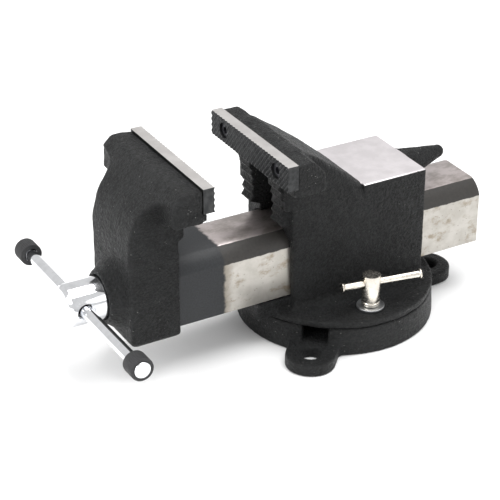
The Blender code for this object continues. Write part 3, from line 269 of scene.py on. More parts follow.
def base_shape(x, y, z):
    """The swivel base: a ring with three lugs, a window over one of them, and hollows underneath."""
    radius = np.hypot(x, y)
    ring = smooth_max(radius - BASE_R + 1.4 * z / BASE_TOP, z - BASE_TOP, 2.6)
    holes = np.full(np.broadcast(x, y, z).shape, -99.0, np.float32)
    lugs = -holes
    for turn in LUG_TURNS:
        u = x * math.cos(turn) + y * math.sin(turn)
        v = y * math.cos(turn) - x * math.sin(turn)
        lug = np.hypot(u - np.clip(u, 60, LUG_OUT), v) - LUG_R
        lugs = np.minimum(lugs, smooth_max(lug, z - LUG_TOP, 3.4))
        hole = np.hypot(u - np.clip(u, LUG_OUT - 1.6, LUG_OUT + 1.6), v)
        flare = np.maximum(z - 10.4, 0) * 0.9
        holes = np.maximum(holes, 9.2 + flare - hole)
    shape = smooth_max(smooth_min(ring, lugs, 7), holes, 1.0)
    u = x * math.cos(LUG_TURNS[0]) + y * math.sin(LUG_TURNS[0])
    v = y * math.cos(LUG_TURNS[0]) - x * math.sin(LUG_TURNS[0])
    window = np.maximum(np.maximum(78 - u, np.abs(v) - 13), 13.3 - z)
    shape = smooth_max(shape, -window, 1.6)
    channel = np.maximum(between(radius, 64.5, 86.8), between(z, 13, 22))
    slot = np.maximum(between(radius, 70, 81), 20 - z)
    under = np.minimum(np.maximum(between(radius, 27, 91), z - 5), np.maximum(radius - 20, z - 11.5))
    under = np.minimum(np.minimum(under, radius - 10.5), np.minimum(channel, slot))
    return np.maximum(smooth_max(shape, -under, 0.8), -z)


CORNERS = [(i, j, k) for i in (0, 1) for j in (0, 1) for k in (0, 1)]
EDGES = [
    (a, b)
    for a in range(8)
    for b in range(a)
    if sum(abs(p - q) for p, q in zip(CORNERS[a], CORNERS[b])) == 1
]


def surface_net(shape, low, high, step):
    """Points and four-sided faces of the surface where the shape's distance is zero."""
    axes = [np.arange(a - 2 * step, b + 2 * step, step, dtype=np.float32) for a, b in zip(low, high)]
    grids = np.meshgrid(*axes, indexing="ij", sparse=True)
    field = np.broadcast_to(shape(*grids), [len(axis) for axis in axes])
    inside = field < 0
    count = np.zeros([size - 1 for size in inside.shape], np.uint8)
    for corner in CORNERS:
        count += inside[tuple(slice(c, c + n) for c, n in zip(corner, count.shape))]
    mixed = (count > 0) & (count < 8)
    cells = np.argwhere(mixed)
    index = np.full(count.shape, -1, np.int32)
    index[mixed] = np.arange(len(cells))
    values = np.stack([field[tuple((cells + corner).T)] for corner in CORNERS], 1)
    total = np.zeros((len(cells), 3))
    crossings = np.zeros((len(cells), 1))
    for a, b in EDGES:
        first, second = values[:, a], values[:, b]
        crossed = (first < 0) != (second < 0)
        share = np.where(crossed, first / np.where(crossed, first - second, 1), 0)[:, None]
        start, end = np.array(CORNERS[a]), np.array(CORNERS[b])
        total += crossed[:, None] * (start + share * (end - start))
        crossings += crossed[:, None]
    points = np.array([axis[0] for axis in axes]) + step * (cells + total / crossings)
    faces = []
    for axis in range(3):
        start = np.take(inside, range(inside.shape[axis] - 1), axis)
        end = np.take(inside, range(1, inside.shape[axis]), axis)
        found = np.argwhere(start != end)
        u, v = (axis + 1) % 3, (axis + 2) % 3
        found = found[(found[:, u] > 0) & (found[:, v] > 0)]
        leaving = start[tuple(found.T)]
        back_u = np.eye(3, dtype=int)[u]
        back_v = np.eye(3, dtype=int)[v]
        quad = np.stack(
            [index[tuple((found - shift).T)] for shift in (0 * back_u, back_u, back_u + back_v, back_v)], 1
        )
        faces.append(np.where(leaving[:, None], quad, quad[:, ::-1]))
    return points, np.concatenate(faces)


def slope_of(shape, points):
    """The outward direction of a shape at each point, and its length."""
    reach = 0.15
    columns = points.T
    rows = []
    for axis in range(3):
        ahead = [column + reach * (axis == n) for n, column in enumerate(columns)]
        behind = [column - reach * (axis == n) for n, column in enumerate(columns)]
        rows.append((shape(*ahead) - shape(*behind)) / (2 * reach))
    slope = np.stack(rows, 1)
    size = np.maximum(np.linalg.norm(slope, axis=1, keepdims=True), 0.2)
    return slope / size, size


def ripple(points, seed, waves, shortest, longest):
    """A smooth random height, the sum of plane waves, mostly from -1 to 1."""
    rng = np.random.default_rng(seed)
    total = np.zeros(len(points))
    for _ in range(waves):
        way = rng.normal(size=3)
        way /= np.linalg.norm(way)
        length = rng.uniform(shortest, longest)
        total += np.sin(points @ way * (FULL_TURN / length) + rng.uniform(0, FULL_TURN))
    return total / math.sqrt(waves / 2)


def mesh_piece(name, points, faces, material, smooth=True):
    """A mesh object from points in millimetres and faces of one length or of several."""
    mesh = bpy.data.meshes.new(name)
    if isinstance(faces, np.ndarray):
        count, sides = faces.shape
        mesh.vertices.add(len(points))
        mesh.vertices.foreach_set("co", (np.asarray(points) * MM).astype(np.float32).ravel())
        mesh.loops.add(count * sides)
        mesh.loops.foreach_set("vertex_index", faces.astype(np.int32).ravel())
        mesh.polygons.add(count)
        mesh.polygons.foreach_set("loop_start", np.arange(0, count * sides, sides, dtype=np.int32))
        mesh.update(calc_edges=True)
    else:
        mesh.from_pydata([tuple(value * MM for value in point) for point in points], [], faces)
    mesh.validate()
    mesh.polygons.foreach_set("use_smooth", [smooth] * len(mesh.polygons))
    mesh.materials.append(material)
    piece = bpy.data.objects.new(name, mesh)
    bpy.context.scene.collection.objects.link(piece)
    return piece


def settle(piece):
    """Applies a piece's modifiers."""
    graph = bpy.context.evaluated_depsgraph_get()
    made = bpy.data.meshes.new_from_object(piece.evaluated_get(graph), depsgraph=graph)
    piece.modifiers.clear()
    old = piece.data
    piece.data = made
    bpy.data.meshes.remove(old)
    return piece


def casting(name, shape, low, high, step, lumps, material):
    """Turns a shape into a mesh with the slight waves of a sand casting."""
    points, faces = surface_net(shape, low, high, step)
    for _ in range(3):
        way, size = slope_of(shape, points)
        off = shape(*points.T)[:, None] / size
        points = points - way * np.clip(off, -0.4 * step, 0.4 * step)
    way, _ = slope_of(shape, points)
    seed = sum(map(ord, name))
    height = ripple(points, seed, 28, 14, 40) * 0.16 + ripple(points, seed + 1, 36, 4.5, 9) * 0.05
    points = points + way * (height * lumps(points))[:, None]
    piece = mesh_piece(name, points, faces, material)
    thin = piece.modifiers.new("thin", "DECIMATE")
    thin.ratio = KEPT_FACES
    return settle(piece)


# ---------------------------------------------------------------- turned and cut pieces
def rounded(outline, radius, steps=3):
    """Rounds the corners of an open outline of (radius, along) points."""
    made = [outline[0]]
    for before, corner, after in zip(outline, outline[1:], outline[2:]):
        here = Vector(corner)
        arms = [Vector(before) - here, Vector(after) - here]
        reach = min(radius, arms[0].length * 0.45, arms[1].length * 0.45)
        start, end = (here + arm.normalized() * reach for arm in arms)
        for step in range(steps + 1):
            t = step / steps
            made.append(tuple(start * (1 - t) ** 2 + here * (2 * t * (1 - t)) + end * t**2))
    made.append(outline[-1])
    return made


AXES = {
    "X": lambda u, v, w: (w, u, v),
    "Y": lambda u, v, w: (v, w, u),
    "Z": lambda u, v, w: (u, v, w),
}


def turned(name, outline, axis, centre, material, steps=96, ribs=None, closed=False):
    """Turns an outline of (radius, along) points. ribs gives what is added to the radius at an angle."""
    points, rows = [], []
    for radius, along in outline:
        if radius == 0:  # one point on the axis
            rows.append([len(points)] * steps)
            points.append(AXES[axis](0, 0, along))
            continue
        rows.append(list(range(len(points), len(points) + steps)))
        for n in range(steps):
            angle = FULL_TURN * n / steps
            wide = radius + (ribs(angle, radius) if ribs else 0)
            points.append(AXES[axis](wide * math.cos(angle), wide * math.sin(angle), along))
    pairs = list(zip(rows, rows[1:] + rows[:1])) if closed else list(zip(rows, rows[1:]))
    faces = []
    for near, far in pairs:
        for n in range(steps):
            after = (n + 1) % steps
            ring = [near[n], near[after], far[after], far[n]]
            faces.append(tuple(dict.fromkeys(ring)))
    faces = [face for face in faces if len(face) > 2]
    points = [tuple(a + b for a, b in zip(point, centre)) for point in points]
    piece = mesh_piece(name, points, faces, material)
    return face_out(piece)


def face_out(piece, angle=38):
    """Turns every face outwards and keeps edges over that angle sharp."""
    work = bmesh.new()
    work.from_mesh(piece.data)
    bmesh.ops.recalc_face_normals(work, faces=work.faces)
    work.to_mesh(piece.data)
    work.free()
    piece.data.set_sharp_from_angle(angle=math.radians(angle))
    return piece


def cut_from(piece, cutter, angle=38):
    """Takes one closed mesh out of another and removes the cutter."""
    step = piece.modifiers.new("cut", "BOOLEAN")
    step.operation = "DIFFERENCE"
    step.solver = "EXACT"
    step.object = cutter
    settle(piece)
    bpy.data.objects.remove(cutter)
    piece.data.polygons.foreach_set("use_smooth", [True] * len(piece.data.polygons))
    piece.data.set_sharp_from_angle(angle=math.radians(angle))
    return piece


def spun(piece, pivot, axis, angle):
    """Turns a piece's mesh about an axis through the pivot."""
    there = Matrix.Translation(Vector(pivot) * MM)
    piece.data.transform(there @ Matrix.Rotation(angle, 4, axis) @ there.inverted())
    return piece


def belongs(piece, body, slot_name, *nodes):
    """Ties a piece to a moving body and hides the nodes that it takes the place of."""
    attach(piece, body)
    if nodes:
        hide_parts(*nodes)
    return piece


# ---------------------------------------------------------------- materials
class Paint:
    """A Principled material built from noise, ramps and mixes of the object's own coordinates."""

    def __init__(self, name, metallic, roughness):
        self.material = bpy.data.materials.new(name)
        self.material.use_nodes = True
        self.tree = self.material.node_tree
        self.shader = self.tree.nodes["Principled BSDF"]
        self.shader.inputs["Metallic"].default_value = metallic
        self.shader.inputs["Roughness"].default_value = roughness
        self.place = self.add("ShaderNodeTexCoord").outputs["Object"]

    def add(self, kind, **inputs):
        node = self.tree.nodes.new(kind)
        for key, value in inputs.items():
            self.put(node.inputs[key.replace("_", " ")], value)
        return node

    def put(self, socket, value):
        if isinstance(value, bpy.types.NodeSocket):
            self.tree.links.new(value, socket)
        else:
            socket.default_value = value

    def stretched(self, x, y, z):
        node = self.add("ShaderNodeMapping", Vector=self.place)
        node.inputs["Scale"].default_value = (x, y, z)
        return node.outputs[0]

    def noise(self, size, detail=4, rough=0.55, where=None):
        """Noise with features of about that size in millimetres, 0 to 1."""
        where = where or self.place
        node = self.add("ShaderNodeTexNoise", Vector=where, Scale=1000 / size)
        node.inputs["Detail"].default_value = detail
        node.inputs["Roughness"].default_value = rough
        return node.outputs["Fac"]

    def cells(self, size):
        node = self.add("ShaderNodeTexVoronoi", Vector=self.place, Scale=1000 / size)
        return node.outputs["Distance"], node.outputs["Color"]

    def fit(self, value, low, high, to_low=0.0, to_high=1.0):
        node = self.add("ShaderNodeMapRange", Value=value)
        node.interpolation_type = "SMOOTHSTEP"
        for key, number in (("From Min", low), ("From Max", high), ("To Min", to_low), ("To Max", to_high)):
            node.inputs[key].default_value = number
        return node.outputs["Result"]

    def math(self, kind, a, b=0.0):
        node = self.tree.nodes.new("ShaderNodeMath")
        node.operation = kind
        self.put(node.inputs[0], a)
        self.put(node.inputs[1], b)
        return node.outputs[0]

    def mix(self, share, a, b):
        node = self.tree.nodes.new("ShaderNodeMix")
        node.data_type = "RGBA"
        for number, value in ((0, share), (6, a), (7, b)):
            is_colour = isinstance(value, tuple) and len(value) == 3
            self.put(node.inputs[number], (*value, 1) if is_colour else value)
        return node.outputs[2]

    def along(self, axis):
        """The object's own coordinate in millimetres."""
        split = self.add("ShaderNodeSeparateXYZ", Vector=self.place)
        return self.math("MULTIPLY", split.outputs[axis], 1000)

    def faces_up(self):
        normal = self.add("ShaderNodeNewGeometry").outputs["Normal"]
        split = self.add("ShaderNodeSeparateXYZ", Vector=normal)
        return split.outputs[2]

    def edge(self, low, high):
        """1 on outer edges, 0 elsewhere."""
        return self.fit(self.add("ShaderNodeNewGeometry").outputs["Pointiness"], low, high)

    def colour(self, value):
        self.put(self.shader.inputs["Base Color"], value)

    def rough(self, value):
        self.put(self.shader.inputs["Roughness"], value)

    def metal(self, value):
        self.put(self.shader.inputs["Metallic"], value)

    def bump(self, *layers):
        """Layers of (height, depth in millimetres)."""
        last = None
        for height, depth in layers:
            node = self.add("ShaderNodeBump", Height=height, Distance=depth * MM)
            node.inputs["Strength"].default_value = 1.0
            if last is not None:
                self.put(node.inputs["Normal"], last)
            last = node.outputs[0]
        self.put(self.shader.inputs["Normal"], last)
        return self.material


def ground_colours(paint, light, dark):
    """Ground steel with fine streaks along X and faint clouds: its colour, and the streaks."""
    streaks = paint.noise(0.5, 5, 0.7, paint.stretched(0.04, 1, 1))
    clouds = paint.noise(16, 4)
    base = paint.mix(paint.fit(clouds, 0.35, 0.68), dark, light)
    return paint.mix(paint.fit(streaks, 0.3, 0.75, 0, 0.35), base, dark), streaks


def cast_material(name, tint, ground=None):
    """Rough black paint on sand-cast iron. ground, from 0 to 1, tells where it is machined bare."""
    paint = Paint(name, 0.0, 0.5)
    sand = paint.noise(2.5, 6, 0.66)
    lumps = paint.noise(6.5, 3, 0.5)
    clouds = paint.noise(34, 3)
    dark = tuple(0.12 * value for value in tint)
    base = paint.mix(paint.fit(sand, 0.36, 0.66), dark, tint)
    base = paint.mix(paint.fit(clouds, 0.35, 0.7, 0, 0.4), base, tuple(1.5 * value for value in tint))
    distance, random = paint.cells(2.6)
    gate = paint.fit(paint.add("ShaderNodeSeparateColor", Color=random).outputs[0], 0.90, 0.92)
    speck = paint.math("MULTIPLY", paint.fit(distance, 0.16, 0.07), gate)
    base = paint.mix(speck, base, (0.50, 0.49, 0.47))
    worn = paint.math("MULTIPLY", paint.edge(0.535, 0.60), paint.fit(paint.noise(2.2, 5), 0.46, 0.62))
    base = paint.mix(paint.math("MULTIPLY", worn, 0.5), base, (0.30, 0.295, 0.285))
    roughness = paint.fit(sand, 0.3, 0.7, 0.58, 0.36)
    grain, depth = sand, 3.4
    if ground:
        bare = ground(paint)
        steel, streaks = ground_colours(paint, (0.80, 0.76, 0.775), (0.70, 0.665, 0.675))
        base = paint.mix(bare, base, steel)
        roughness = paint.mix(bare, roughness, paint.fit(streaks, 0.3, 0.7, 0.30, 0.44))
        paint.metal(paint.math("MULTIPLY", bare, 0.85))
        grain = paint.math("MULTIPLY", sand, paint.math("SUBTRACT", 1.0, bare))
        lumps = paint.math("MULTIPLY", lumps, paint.math("SUBTRACT", 1.0, bare))
    paint.colour(base)
    paint.rough(roughness)
    paint.shader.inputs["Specular IOR Level"].default_value = 0.27
    return paint.bump((lumps, 2.4), (grain, depth))


def anvil_bare(paint):
    """The anvil's top, with a chipped edge of paint."""
    chips = paint.math("MULTIPLY", paint.math("SUBTRACT", paint.noise(3.2, 5, 0.6), 0.5), 4.2)
    high = paint.fit(paint.math("ADD", paint.along(2), chips), 155.55, 155.75)
    flat = paint.fit(paint.faces_up(), 0.55, 0.6)
    back = paint.along(1)
    behind = paint.math("MULTIPLY", paint.fit(back, 2.4, 2.8), paint.fit(back, 75.6, 75.2))
    low = paint.fit(paint.along(2), 157.6, 157.3)
    return paint.math("MULTIPLY", paint.math("MULTIPLY", high, flat), paint.math("MULTIPLY", behind, low))


def plate_material():
    """Jaw plate: the top edge ground bright, the rest dull grey."""
    paint = Paint("plate_look", 0.85, 0.42)
    bright, streaks = ground_colours(paint, (0.64, 0.62, 0.605), (0.54, 0.52, 0.505))
    cloud = paint.noise(5, 5, 0.6)
    dull = paint.mix(paint.fit(cloud, 0.35, 0.7), (0.030, 0.031, 0.032), (0.060, 0.061, 0.062))
    height = paint.math("ADD", paint.along(2), paint.math("MULTIPLY", paint.noise(2, 4), 0.1))
    upward = paint.fit(paint.faces_up(), 0.7, 0.8)
    top = paint.math("MULTIPLY", paint.fit(height, 212.80, 212.95), upward)
    paint.colour(paint.mix(top, dull, bright))
    paint.rough(paint.fit(top, 0, 1, 0.46, 0.36))
    return paint.bump((streaks, 0.03), (cloud, 0.08))


def slide_material():
    """The slide bar: ground on top and sides, dark unground shoulders, black paint near the jaw."""
    paint = Paint("slide_look", 0.8, 0.35)
    height, across, back = paint.along(2), paint.along(0), paint.along(1)
    wide = paint.math("ABSOLUTE", across)
    wobble = paint.math("MULTIPLY", paint.math("SUBTRACT", paint.noise(7, 5, 0.65), 0.5), 3.0)
    top = paint.fit(paint.math("ADD", height, paint.math("MULTIPLY", wobble, 0.15)), 119.1, 119.4)
    side = paint.fit(paint.math("ADD", wide, paint.math("MULTIPLY", wobble, 0.1)), 36.75, 37.0)
    below = paint.fit(paint.math("ADD", height, wobble), 105.0, 104.4)
    side = paint.math("MULTIPLY", side, below)
    steel, _ = ground_colours(paint, (0.50, 0.48, 0.445), (0.40, 0.38, 0.345))
    stains = paint.noise(13, 6, 0.66, paint.stretched(1, 0.6, 1))
    bright = paint.mix(paint.fit(stains, 0.50, 0.68, 0, 0.75), steel, (0.22, 0.175, 0.115))
    ragged = paint.math("ADD", back, paint.math("MULTIPLY", wobble, 3.0))
    pits, _ = paint.cells(4.6)
    bright = paint.mix(paint.fit(pits, 0.14, 0.05, 0, 0.8), bright, (0.08, 0.065, 0.05))
    pink = paint.mix(paint.fit(stains, 0.40, 0.66), (0.56, 0.50, 0.49), (0.36, 0.32, 0.30))
    dark = paint.mix(paint.noise(3, 5), (0.012, 0.011, 0.010), (0.034, 0.030, 0.026))
    bright = paint.mix(paint.fit(ragged, -138.0, -148.0, 0, 0.55), bright, (0.13, 0.10, 0.065))
    base = paint.mix(side, dark, bright)
    base = paint.mix(top, base, pink)
    coat = paint.fit(ragged, -146.5, -150.5)
    inner = paint.fit(wide, 21.5, 21.2)
    inner = paint.math("MULTIPLY", inner, paint.fit(height, 104.6, 104.2))
    coat = paint.math("MAXIMUM", coat, inner)
    sand = paint.noise(1.5, 6, 0.6)
    black = paint.mix(paint.fit(sand, 0.3, 0.7), (0.004, 0.005, 0.0065), (0.012, 0.014, 0.017))
    paint.colour(paint.mix(coat, base, black))
    bare = paint.math("SUBTRACT", 1.0, coat)
    ground = paint.math("MULTIPLY", paint.math("MAXIMUM", top, side), bare)
    paint.metal(paint.math("MULTIPLY", ground, 0.85))
    paint.rough(paint.fit(ground, 0, 1, 0.55, 0.33))
    scratch = paint.noise(0.6, 4, 0.6, paint.stretched(1, 0.05, 1))
    return paint.bump((scratch, 0.04), (paint.math("MULTIPLY", sand, coat), 0.25))


def bright_material(name, colour, roughness, smear=0.05, tone=0.82):
    """Plated metal with a faint cloudiness and hair scratches."""
    paint = Paint(name, 1.0, roughness)
    clouds = paint.noise(11, 4)
    shade = tuple(value * tone for value in colour)
    paint.colour(paint.mix(paint.fit(clouds, 0.38, 0.72), colour, shade))
    hair = paint.noise(0.7, 4, 0.7, paint.stretched(1, 0.12, 1))
    paint.rough(paint.fit(paint.noise(4, 5, 0.65), 0.35, 0.7, roughness, roughness + smear))
    return paint.bump((hair, 0.002))


def dark_material(name, colour, metallic, roughness, grain, depth):
    """A dull dark surface with a fine grain, both in millimetres."""
    paint = Paint(name, metallic, roughness)
    sand = paint.noise(grain, 5, 0.6)
    light = tuple(1.9 * value for value in colour)
    paint.colour(paint.mix(paint.fit(sand, 0.35, 0.7), colour, light))
    paint.rough(paint.fit(paint.noise(6, 4), 0.3, 0.7, roughness - 0.08, roughness + 0.08))
    return paint.bump((sand, depth))


CAST_BODY = cast_material("cast_body_look", (0.0125, 0.0132, 0.0135), anvil_bare)
CAST_JAW = cast_material("cast_jaw_look", (0.0125, 0.0132, 0.0135))
CAST_BASE = cast_material("cast_base_look", (0.0115, 0.0122, 0.0125))
SLIDE = slide_material()
PLATE = plate_material()
CHROME = bright_material("chrome_look", (0.86, 0.87, 0.89), 0.07, 0.06, 0.9)
NICKEL = bright_material("nickel_look", (0.80, 0.75, 0.67), 0.20, 0.12, 0.75)
ZINC = bright_material("zinc_look", (0.52, 0.53, 0.54), 0.33, 0.16, 0.7)
SPRING_STEEL = bright_material("spring_look", (0.36, 0.36, 0.37), 0.3, 0.12, 0.75)
BLACK_STEEL = dark_material("black_steel_look", (0.035, 0.035, 0.04), 0.7, 0.42, 1.2, 0.03)
NUT_IRON = dark_material("nut_iron_look", (0.13, 0.12, 0.115), 0.5, 0.55, 1.6, 0.12)
RUBBER = dark_material("rubber_look", (0.014, 0.014, 0.015), 0.0, 0.58, 1.1, 0.05)


# ---------------------------------------------------------------- the castings
def body_lumps(points):
    x, y, z = points.T
    flat = (y > 1) & (z > 155.5)
    tunnel = (np.abs(x) < 38.5) & (z > 50) & (z < 121)
    return np.where(flat | tunnel | (z < 29.7), 0.0, 1.0)


def jaw_lumps(points):
    x, y, z = points.T
    radius = np.hypot(x, z - SCREW_Z)
    return np.where((radius < 26) & (y < -245), 0.15, 1.0)


def base_lumps(points):
    return np.where(points[:, 2] < 0.4, 0.0, 0.8)


coarse = 1.0
low, high = (-101, -113, 29), (101, 128, 212)
body = casting("body_casting", body_shape, low, high, 1.2 * coarse, body_lumps, CAST_BODY)
belongs(body, "body", "cast_body", "vise_body")
low, high = (-76, -265, 42), (76, -185, 212)
jaw = casting("jaw_casting", jaw_shape, low, high, 1.0 * coarse, jaw_lumps, CAST_JAW)
belongs(jaw, "jaw", "cast_jaw", "movable_jaw")
low, high = (-112, -118, 0), (118, 144, 29.5)
base = casting("base_casting", base_shape, low, high, 1.15 * coarse, base_lumps, CAST_BASE)
belongs(base, "base", "cast_base", "swivel_base")


def slide_bar():
    """The square bar behind the movable jaw, open below, with swollen upper corners."""
    narrower = SLIDE_HALF - SLIDE_TOP_HALF
    taller = SLIDE_TOP - SLIDE_SHOULDER
    corner = []
    for t in np.linspace(0, 1, 9):
        swell = t * (1 - t)
        corner.append((SLIDE_HALF - narrower * t + 6.0 * swell, SLIDE_SHOULDER + taller * t + 6.5 * swell))
    near_side = [(CHANNEL_HALF, CHANNEL_TOP), (CHANNEL_HALF, SLIDE_BOTTOM), (SLIDE_HALF, SLIDE_BOTTOM)]
    near_side += corner
    outline = near_side + [(-u, v) for u, v in reversed(near_side)]
    count = len(outline)
    points = [(u, y, v) for y in (SLIDE_FRONT_Y, SLIDE_REAR_Y) for u, v in outline]
    faces = [tuple(range(count)), tuple(range(count, 2 * count))]
    faces += [(n, (n + 1) % count, count + (n + 1) % count, count + n) for n in range(count)]
    bar = mesh_piece("slide_bar", points, faces, SLIDE)
    face_out(bar)
    edge = bar.modifiers.new("edge", "BEVEL")
    edge.width = 0.8 * MM
    edge.segments = 3
    edge.limit_method = "ANGLE"
    edge.angle_limit = math.radians(25)
    settle(bar)
    bar.data.polygons.foreach_set("use_smooth", [True] * len(bar.data.polygons))
    bar.data.set_sharp_from_angle(angle=math.radians(40))
    return belongs(bar, "jaw", "cast_jaw")


slide_bar()


# ---------------------------------------------------------------- jaw plates and their screws
def jaw_plate(name, face_y, inward, body_name, node):
    """A ground plate whose face is cut into small pyramids by two sets of sloping grooves."""
    columns, rows = PLATE_COLUMNS, PLATE_ROWS
    points = []
    for i in range(columns + 1):
        for j in range(rows + 1):
            sunk = HATCH_DEEP if (i + j) % 2 == 0 else 0.12
            x = -JAW_HALF + 2 * JAW_HALF * i / columns
            points.append((x, face_y + inward * sunk, PLATE_BOTTOM + PLATE_HIGH * j / rows))
    back = face_y + inward * PLATE_THICK
    corners = len(points)
    ends = (PLATE_BOTTOM, PLATE_BOTTOM + PLATE_HIGH)
    points += [(x, back, z) for x in (-JAW_HALF, JAW_HALF) for z in ends]
    faces = []

    def node_at(i, j):
        return i * (rows + 1) + j

    for i in range(columns):
        for j in range(rows):
            a, b, c, d = node_at(i, j), node_at(i + 1, j), node_at(i + 1, j + 1), node_at(i, j + 1)
            faces += [(a, b, c), (a, c, d)] if (i + j) % 2 == 0 else [(a, b, d), (b, c, d)]
    faces.append(tuple(node_at(i, rows) for i in range(columns + 1)) + (corners + 3, corners + 1))
    faces.append(tuple(node_at(i, 0) for i in range(columns + 1)) + (corners + 2, corners))
    faces.append(tuple(node_at(0, j) for j in range(rows + 1)) + (corners + 1, corners))
    faces.append(tuple(node_at(columns, j) for j in range(rows + 1)) + (corners + 3, corners + 2))
    faces.append((corners, corners + 1, corners + 3, corners + 2))
    plate = face_out(mesh_piece(name, points, faces, PLATE, smooth=False), 1)
    for side in (-1, 1):
        outline = [(0, -30), (7.9, -30), (7.9, 30), (0, 30)]
        way = turned("plate_way", outline, "Y", (side * PLATE_SCREW_X, face_y, PLATE_SCREW_Z), PLATE, 64)
        cut_from(plate, way, 20)
    return belongs(plate, body_name, "plate_steel", node)


def plate_screw(name, side, face_y, inward, body_name, node):
    """A socket head cap screw sunk in the plate."""
    head = face_y + inward * 3.05
    centre = (side * PLATE_SCREW_X, 0, PLATE_SCREW_Z)
    marks = [(0, 0), (7.5, 0), (7.5, 4.4), (4.2, 4.4), (4.2, 18), (0, 18)]
    outline = rounded([(radius, head + inward * deep) for radius, deep in marks], 0.5, 2)
    screw = turned(name, outline, "Y", centre, BLACK_STEEL, 48)
    marks = [(0, -2), (4.0, -2), (4.0, 3), (0, 3)]
    hexagon = [(radius, head + inward * deep) for radius, deep in marks]
    cut_from(screw, turned("socket", hexagon, "Y", centre, BLACK_STEEL, 6), 30)
    return belongs(screw, body_name, "black_steel", node)


JAWS = (("fixed", FIXED_FACE_Y, 1, "body"), ("movable", MOVABLE_FACE_Y, -1, "jaw"))
for jaw_name, face_y, inward, body_name in JAWS:
    jaw_plate(f"{jaw_name}_plate", face_y, inward, body_name, f"{jaw_name}_jaw_plate")
    for label, side in (("near", 1), ("far", -1)):
        node = f"{jaw_name}_plate_screw_{label}"
        plate_screw(f"{node}_look", side, face_y, inward, body_name, node)


# ---------------------------------------------------------------- main screw
def thread_rings():
    """The thread from the neck to the end, as rings whose radius follows the helix."""
    pitch, root, crest, steps = 6.0, 9.2, 12.0, 60
    start, stop, rise = -156.0, 49.4, 0.5
    rows = int((stop - start) / rise) + 1
    points = []
    for row in range(rows):
        y = start + rise * row
        for n in range(steps):
            phase = (y / pitch - n / steps) % 1
            share = min(1, max(0, (0.36 - abs(phase - 0.5)) / 0.12))
            wide = root + (crest - root) * share
            angle = FULL_TURN * n / steps
            points.append((wide * math.sin(angle), y, wide * math.cos(angle) + SCREW_Z))
    faces = []
    for row in range(rows - 1):
        for n in range(steps):
            a, b = row * steps + n, row * steps + (n + 1) % steps
            faces.append((a, b, b + steps, a + steps))
    faces.append(tuple(range(steps)))
    faces.append(tuple(range((rows - 1) * steps, rows * steps)))
    return face_out(mesh_piece("main_screw_thread", points, faces, NICKEL), 50)


def main_screw():
    """The screw's bored head and neck, and its thread."""
    outline = [(0, -302.5), (17.6, -302.5), (21.5, -298.9), (21.5, -253.1)]
    outline += [(12.2, -253.1), (12.2, -155.0), (9.0, -153.5), (0, -153.5)]
    head = turned("main_screw", rounded(outline, 0.9, 4), "Y", (0, 0, SCREW_Z), CHROME, 128)
    half = [(0, 40), (12.0, 40), (9.4, 21.7), (6.9, 18.4)]
    flare = [(radius, -along) for radius, along in half] + half[::-1]
    way = turned("bar_way", flare, "X", (0, BAR_Y, SCREW_Z), CHROME, 64)
    spun(way, (0, BAR_Y, SCREW_Z), "Y", -BAR_TILT)
    cut_from(head, way, 30)
    belongs(head, "screw", "chrome", "spindle")
    belongs(thread_rings(), "screw", "nickel")


def ring(name, inner, outer, low, high, axis, centre, material, rounding=0.5):
    """A washer or collar with rounded rims."""
    middle = (inner + outer) / 2
    outline = rounded([(middle, low), (outer, low), (outer, high), (middle, high)], rounding)
    inside = rounded([(middle, high), (inner, high), (inner, low), (middle, low)], rounding)
    return turned(name, outline + inside[1:-1], axis, centre, material, 72, closed=True)


def screw_trim():
    """The thrust washer, the collar and the spring between it and the jaw."""
    centre = (0, 0, SCREW_Z)
    washer = ring("thrust_ring", 12.7, 21.2, -252.8, -250.3, "Y", centre, ZINC)
    belongs(washer, "screw", "zinc", "thrust_washer")
    collar = ring("stop_collar", 12.5, 18.2, -212.8, -203.8, "Y", centre, ZINC, 0.8)
    belongs(collar, "screw", "zinc", "collar")
    points, faces = [], []
    count, sides = 216, 12
    for n in range(count + 1):
        turn = FULL_TURN * 3 * n / count
        share = min(1, max(0, (n / count - 1 / 6) * 1.5))
        y = -222.5 + 7.2 * share
        for k in range(sides):
            bend = FULL_TURN * k / sides
            wide = 15.2 + 1.55 * math.cos(bend)
            lean = y + 1.55 * math.sin(bend)
            points.append((wide * math.cos(turn), lean, SCREW_Z + wide * math.sin(turn)))
            if n < count:
                here, after = n * sides + k, n * sides + (k + 1) % sides
                faces.append((here, after, after + sides, here + sides))
    faces += [tuple(range(sides)), tuple(range(count * sides, (count + 1) * sides))]
    coil = face_out(mesh_piece("take_up_spring", points, faces, SPRING_STEEL), 60)
    belongs(coil, "screw", "spring_steel", "spring")


main_screw()
screw_trim()


# ---------------------------------------------------------------- handle
def handle_part(piece, slot_name, *nodes):
    spun(piece, (0, BAR_Y, SCREW_Z), "Y", -BAR_TILT)
    return belongs(piece, "handle", slot_name, *nodes)


def grip_ribs(angle, radius):
    """Fine flutes along a bumper's outside."""
    return 0.2 * math.cos(36 * angle) - 0.2 if radius > 11.2 else 0.0


